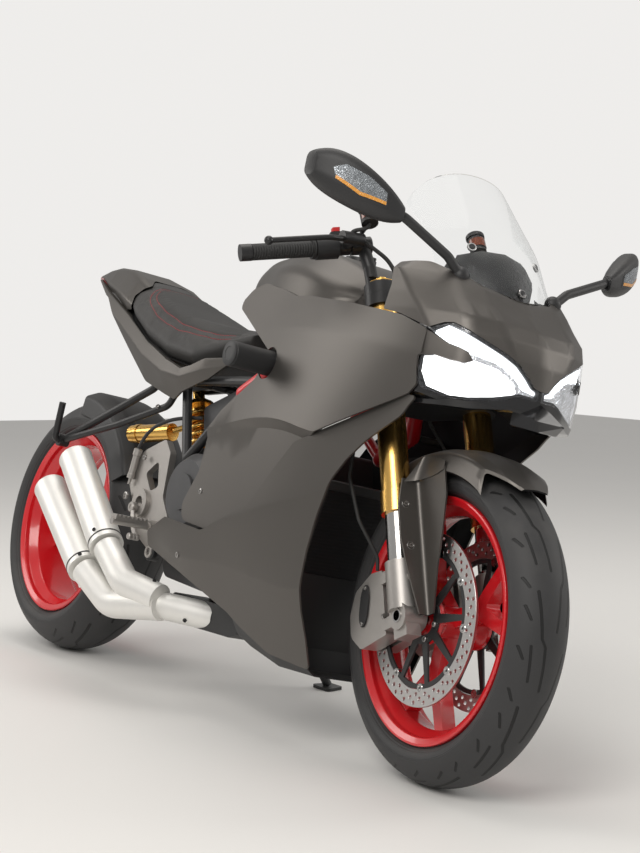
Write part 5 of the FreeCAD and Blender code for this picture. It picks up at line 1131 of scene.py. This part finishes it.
class MOTORCYCLE_OT_controls(bpy.types.Operator):
    """Fit switches, lever hoses and reservoir caps to the bars"""

    bl_idname = "motorcycle.controls"
    bl_label = "Controls"

    def execute(self, context):
        bm = bmesh.new()
        for side in SIDES:
            self.switches(bm, side)
            cup = along_bar(0.09, side) + Vector((62, 0, 20))
            add_turned(bm, aimed(FORK, cup + Vector((-6, 0, 34)), (-0.17, 0, 1)),
                       [(19.3, 0), (19.3, 7), (18, 8.6), (6, 8.6), (5, 7.6), (0, 7.6)], 28)
            add_turned(bm, aimed(FORK, cup + Vector((0.5, 0, 8)), (-0.17, 0, 1)),
                       [(17.3, 0), (17.4, 16), (17.2, 20)], 28, 2)
        shown(bm, "bar_switches", "black_plastic red_plastic fluid_tint", "steering")
        bm = bmesh.new()
        for side in SIDES:
            pivot = along_bar(0.2, side) + Vector((46, -side * 22, -2))
            add_cable(bm, FORK, [
                pivot, pivot + Vector((-2, -side * 18, -6)), (38, side * 74, 1040), (38, side * 60, 965),
                (38, side * 48, 890), (34, side * 40, 806)], HOSE_RADIUS)
            cup = along_bar(0.09, side) + Vector((60, 0, 22))
            add_cable(bm, FORK, [
                cup, cup + Vector((2, side * 4, -14)), pivot + Vector((6, side * 30, 12)),
                pivot + Vector((0, side * 26, 4))], HOSE_RADIUS)
        shown(bm, "lever_hoses", "soft_rubber", "steering")
        return {"FINISHED"}

    def switches(self, bm, side):
        """The buttons on one bar; the topmost one on the right, the stop switch, is red."""
        bar = BAR_OUTER - BAR_INNER
        way = Vector((bar.x, side * bar.y, bar.z)).normalized()
        for k, (share, lift, ahead, w, h) in enumerate(SWITCHES):
            spot = along_bar(share, side) + Vector((ahead, 0, lift))
            out = Vector((ahead * 0.9, 0, lift)).normalized()
            turn = Matrix((way, out.cross(way).normalized(), out)).transposed().to_4x4()
            outline = [(-w, -h + 2), (-w + 2, -h), (w - 2, -h), (w, -h + 2), (w, h - 2), (w - 2, h),
                       (-w + 2, h), (-w, h - 2)]
            stop = k == 0 and side < 0
            add_slab(bm, FORK @ Matrix.Translation(spot * MM) @ turn, outline, -4, 4.5, 1 if stop else 0)


TOE_PROFILE = [(0, 0), (6, 0), (7.5, 3), (7.5, 8), (6.8, 9), (7.5, 10), (7.5, 16), (6.8, 17), (7.5, 18),
               (7.5, 26), (6, 28), (0, 28)]
CYLINDER_PROFILE = [(0, -14), (3.5, -14), (3.5, 0), (9, 0), (9, 10), (8, 11), (8, 52), (10, 54), (10, 68),
                    (6, 70), (0, 70)]


class MOTORCYCLE_OT_linkage(bpy.types.Operator):
    """Fit the foot levers, the rear brake's cylinder and hose, and the belly's bracket"""

    bl_idname = "motorcycle.linkage"
    bl_label = "Foot levers"

    def execute(self, context):
        bm = bmesh.new()
        for side in SIDES:
            out = (0, side, 0)
            add_turned(bm, aimed(LEANED, (505, side * 163, 385), out),
                       [(0, 0), (12, 0), (12, 12), (10, 14), (5, 14), (4.5, 12), (0, 12)], 28)
            arm = [(505, 170, 385), (530, 176, 352), (556, 184, 332), (584, 190, 322)]
            add_cable(bm, LEANED, [(x, side * y, z) for x, y, z in arm], 0.0055)
            add_turned(bm, aimed(LEANED, (584, side * 184, 322), out), TOE_PROFILE, 24)
        add_turned(bm, aimed(LEANED, (450, -161, 448), (10, 0, 68)), CYLINDER_PROFILE, 28)
        hinge = aimed(LEANED, (613, -148, 297), (0, -1, 0))
        add_turned(bm, hinge, [(9, 19), (14, 19), (14, 22), (13, 23.5), (9, 23.5), (8, 20), (0, 20)], 32)
        shown(bm, "foot_levers", "cast_aluminium", "chassis")
        bm = bmesh.new()
        add_turned(bm, hinge, [(0, 0), (19, 0), (19, 18), (17, 20), (0, 20)], 32)
        plate = (Matrix.Translation(at(LEANED, 613, -154, 297)) @ LEANED.to_3x3().to_4x4()
                 @ Matrix.Rotation(math.radians(90), 4, "X"))
        add_slab(bm, plate, [(-17, -8), (14, -12), (66, 28), (60, 52), (44, 58), (-14, 12)], -4, 4)
        hose = [(460, -161, 516), (468, -158, 548), (500, -146, 580), (548, -120, 604), (590, -90, 610)]
        add_cable(bm, LEANED, hose, HOSE_RADIUS)
        shown(bm, "belly_bracket", "black_plastic", "chassis")
        return {"FINISHED"}


# Each silencer's lower and upper end, in upright millimetres
SILENCERS = (((500, -212, 288), (240, -200, 468)), ((452, -228, 228), (176, -216, 388)))
# Edge of each gap between the pad and the tail panels, in upright millimetres, where a dark sheet is painted
# shade
PAD_GAP_EDGE = [(118, 86, 872), (150, 98, 848), (215, 110, 820), (281, 121, 793), (355, 126, 764),
                (430, 125, 735)]
GUSSET_ROWS = [
    [(1403, -121, 537), (1404, -101, 542), (1411, -89, 547), (1438, -91, 554), (1461, -94, 563),
     (1478, -95, 572)],
    [(1395, -84, 585), (1400, -84, 590), (1412, -85, 594), (1432, -87, 594), (1456, -90, 592),
     (1476, -93, 588)],
]
# x, z and half width of the screen cover's crown, from its foot up
COVER_CROWN = [(1491, 906, 14), (1474, 934, 44), (1455, 962, 68), (1436, 985, 84), (1416, 998, 90)]
SCREEN_BOLTS = ((1414, -80, 992), (1414, 80, 992), (1488, 0, 922))


class MOTORCYCLE_OT_trim(bpy.types.Operator):
    """Add silencer bands, slider caps, dark sheets of painted shade in the gaps beside the seat, the
    mudguard's webs and the screen's cover
    """

    bl_idname = "motorcycle.trim"
    bl_label = "Trim"

    def execute(self, context):
        bm = bmesh.new()
        for low, high in SILENCERS:
            way = Vector(high) - Vector(low)
            add_turned(bm, aimed(LEANED, low, way), [(39.1, 12), (39.9, 12.4), (39.9, 15.6), (39.1, 16)], 48)
            add_turned(bm, aimed(LEANED, high, way), [
                (38.9, -3), (39.6, -2.6), (39.8, -0.8), (38.4, 0.4), (34.4, 0.6), (33.6, -0.8)], 48, 1)
        shown(bm, "silencer_bands", "black_metal silver_exhaust", "chassis")
        bm = bmesh.new()
        for side in SIDES:
            add_turned(bm, aimed(LEANED, (985, side * 292, 728), (0, side, 0)),
                       [(25.4, -2), (25.4, 0.4), (22, 2.0), (14, 2.4), (13, 1.4), (0, 1.6)], 40)
        shown(bm, "slider_caps", "black_plastic", "chassis")
        # Painted shade: a dark sheet behind each gap beside the seat stands in for the shadow inside the tail
        rows = [PAD_GAP_EDGE, [(x, y - 34, z - 4) for x, y, z in PAD_GAP_EDGE]]
        self.sheet("seat_gap_shade_sheets", rows, "black_plastic", "chassis", "black_plastic")
        self.sheet("fender_gussets", GUSSET_ROWS, "body_paint", "steering", "titanium_paint", FORK)
        self.screen_cover()
        return {"FINISHED"}

    def sheet(self, name, rows, label, body, slot, mirror=None):
        """A thin sheet through rows of points in upright millimetres, and its mirror image."""
        bm = bmesh.new()
        swap = mirror.inverted() @ LEANED if mirror else Matrix.Identity(4)
        for side in (1, -1):
            turn = (mirror or LEANED) @ Matrix.Diagonal((1, side, 1, 1)) @ swap
            made = [[bm.verts.new(turn @ (Vector(p) * MM)) for p in row] for row in rows]
            for low, high in zip(made, made[1:]):
                for k in range(len(low) - 1):
                    bm.faces.new([low[k], low[k + 1], high[k + 1], high[k]])
        shown(bm, name, label, body, 50, thickness=0.0015)

    def screen_cover(self):
        """The dark cover behind the screen with its three screen bolts."""
        rows = []
        for x, z, half in COVER_CROWN:
            edge = z - half * 0.26
            rows.append([(x, 0, z), (x - half * 0.10, -half * 0.55, z - half * 0.06),
                         (x - half * 0.32, -half, edge), (x - half * 0.45, -half * 1.1, edge - 55)])
        self.sheet("screen_cover", rows, "black_plastic", "chassis", "black_plastic")
        bm = bmesh.new()
        for x, y, z in SCREEN_BOLTS:
            spot = aimed(LEANED, (x, y, z), (0.84, 0.005 * y, 0.52))
            add_turned(bm, spot, [(0, -2), (9, -2), (9, 1.6), (8, 2.4), (6.4, 2.4), (6.2, 1.6)], 24)
            add_turned(bm, spot, [(6.2, 1.6), (6.0, 3.2), (3.4, 3.8), (0, 3.0)], 24, 1)
        shown(bm, "screen_bolts", "hard_chrome gloss_black", "chassis")


# Stage

CAMERA_SPOT = (3990, -2099.8, 426)
CAMERA_YAW, CAMERA_PITCH, CAMERA_ROLL = 145.607, 3.173, 11.429
FOCAL_PIXELS, PHOTO_HEIGHT, SENSOR = 1762.4, 853, 36.0
FLOOR_HALF = 9.0
BACKDROP_LEVEL = 0.86
SKY_COLOUR, LAMP_COLOUR = (1.0, 0.985, 0.965, 1), (1.0, 0.97, 0.93)
LAMP_AIM = Vector((0.1, 0, 0.5))


class MOTORCYCLE_OT_stage(bpy.types.Operator):
    """Set floor, backdrop, soft light and the camera at the reference angle"""

    bl_idname = "motorcycle.stage"
    bl_label = "Stage"

    def execute(self, context):
        stage = context.scene.motorcycle_stage
        self.floor(stage)
        self.light(context, stage)
        self.camera(context)
        return {"FINISHED"}

    def floor(self, stage):
        """A wide pale floor."""
        material = bpy.data.materials.new("pale_floor")
        material.use_nodes = True
        tree = material.node_tree
        low = (*(c * 0.97 for c in stage.floor), 1)
        tone = blended(noise(own_space(tree), 1.5), low, (*stage.floor, 1))
        feed_shader(tree, {"Base Color": tone, "Roughness": 0.55})
        bm = bmesh.new()
        bmesh.ops.create_grid(bm, x_segments=8, y_segments=8, size=FLOOR_HALF)
        mesh = bpy.data.meshes.new("floor")
        bm.to_mesh(mesh)
        bm.free()
        mesh.materials.append(material)
        floor = bpy.data.objects.new("floor", mesh)
        bpy.context.scene.collection.objects.link(floor)

    def light(self, context, stage):
        """A pale sky that the camera sees as white, and four large soft lamps."""
        world = bpy.data.worlds.new("studio")
        context.scene.world = world
        world.use_nodes = True
        tree = world.node_tree
        back = tree.nodes["Background"].inputs
        path = add_node(tree, "LightPath").outputs
        seen = largest([path["Is Camera Ray"], path["Is Transmission Ray"]])
        strength = add_node(tree, "Mix", ((0, seen), (2, stage.sky), (3, BACKDROP_LEVEL)))
        feed(back["Color"], SKY_COLOUR)
        feed(back["Strength"], strength.outputs[0])
        lamps = [
            # name, place, size, power
            ("key", (2.6, -3.4, 3.6), 2.6, stage.key_power),
            ("top", (-0.6, 0.2, 4.2), 3.2, stage.fill_power * 1.4),
            ("fill", (2.4, 3.6, 2.2), 2.4, stage.fill_power),
            ("rear", (-3.2, -2.6, 2.4), 2.2, stage.fill_power),
        ]
        for name, spot, size, power in lamps:
            data = bpy.data.lights.new(name, "AREA")
            data.shape, data.size, data.energy, data.color = "DISK", size, power, LAMP_COLOUR
            lamp = bpy.data.objects.new(name, data)
            lamp.location = spot
            lamp.rotation_euler = (LAMP_AIM - Vector(spot)).to_track_quat("-Z", "Y").to_euler()
            context.scene.collection.objects.link(lamp)
        context.scene.view_settings.view_transform = "Standard"

    def camera(self, context):
        """The camera where the reference picture was taken from, with its tilt."""
        yaw, pitch, roll = (math.radians(v) for v in (CAMERA_YAW, CAMERA_PITCH, CAMERA_ROLL))
        forward = Vector((math.cos(pitch) * math.cos(yaw), math.cos(pitch) * math.sin(yaw), math.sin(pitch)))
        level = forward.cross(Vector((0, 0, 1))).normalized()
        up = level.cross(forward)
        right = level * math.cos(roll) + up * math.sin(roll)
        above = -level * math.sin(roll) + up * math.cos(roll)
        turn = Matrix((right, above, -forward)).transposed().to_4x4()
        data = bpy.data.cameras.new("camera")
        data.sensor_fit, data.sensor_width = "AUTO", SENSOR
        data.lens = SENSOR * FOCAL_PIXELS / PHOTO_HEIGHT
        camera = bpy.data.objects.new("camera", data)
        context.scene.collection.objects.link(camera)
        camera.matrix_world = LEANED @ Matrix.Translation(Vector(CAMERA_SPOT) * MM) @ turn
        context.scene.camera = camera


STEPS = ("finishes", "seat", "discs", "lamps", "spring", "fasteners", "controls", "linkage", "trim", "stage")
SETTINGS = {"motorcycle_colours": MOTORCYCLE_PG_colours, "motorcycle_sizes": MOTORCYCLE_PG_sizes,
            "motorcycle_stage": MOTORCYCLE_PG_stage}


class MOTORCYCLE_PT_panel(bpy.types.Panel):
    """Sidebar panel that lists the steps and their values"""

    bl_idname = "MOTORCYCLE_PT_panel"
    bl_label = "Motorcycle"
    bl_space_type = "VIEW_3D"
    bl_region_type = "UI"
    bl_category = "Motorcycle"

    def draw(self, context):
        for setting in SETTINGS:
            group = getattr(context.scene, setting)
            box = self.layout.box()
            for name in group.__annotations__:
                box.prop(group, name)
        for step in STEPS:
            self.layout.operator(f"motorcycle.{step}")


CLASSES = (
    *SETTINGS.values(), MOTORCYCLE_OT_finishes, MOTORCYCLE_OT_seat, MOTORCYCLE_OT_discs, MOTORCYCLE_OT_lamps,
    MOTORCYCLE_OT_spring, MOTORCYCLE_OT_fasteners, MOTORCYCLE_OT_controls, MOTORCYCLE_OT_linkage,
    MOTORCYCLE_OT_trim, MOTORCYCLE_OT_stage, MOTORCYCLE_PT_panel,
)


def register():
    for cls in CLASSES:
        bpy.utils.register_class(cls)
    for name, group in SETTINGS.items():
        setattr(bpy.types.Scene, name, PointerProperty(type=group))


def unregister():
    for name in SETTINGS:
        delattr(bpy.types.Scene, name)
    for cls in reversed(CLASSES):
        bpy.utils.unregister_class(cls)


def main():
    """Registers the add-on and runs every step."""
    register()
    for step in STEPS:
        getattr(bpy.ops.motorcycle, step)()
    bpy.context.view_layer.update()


if __name__ == "__main__":
    main()
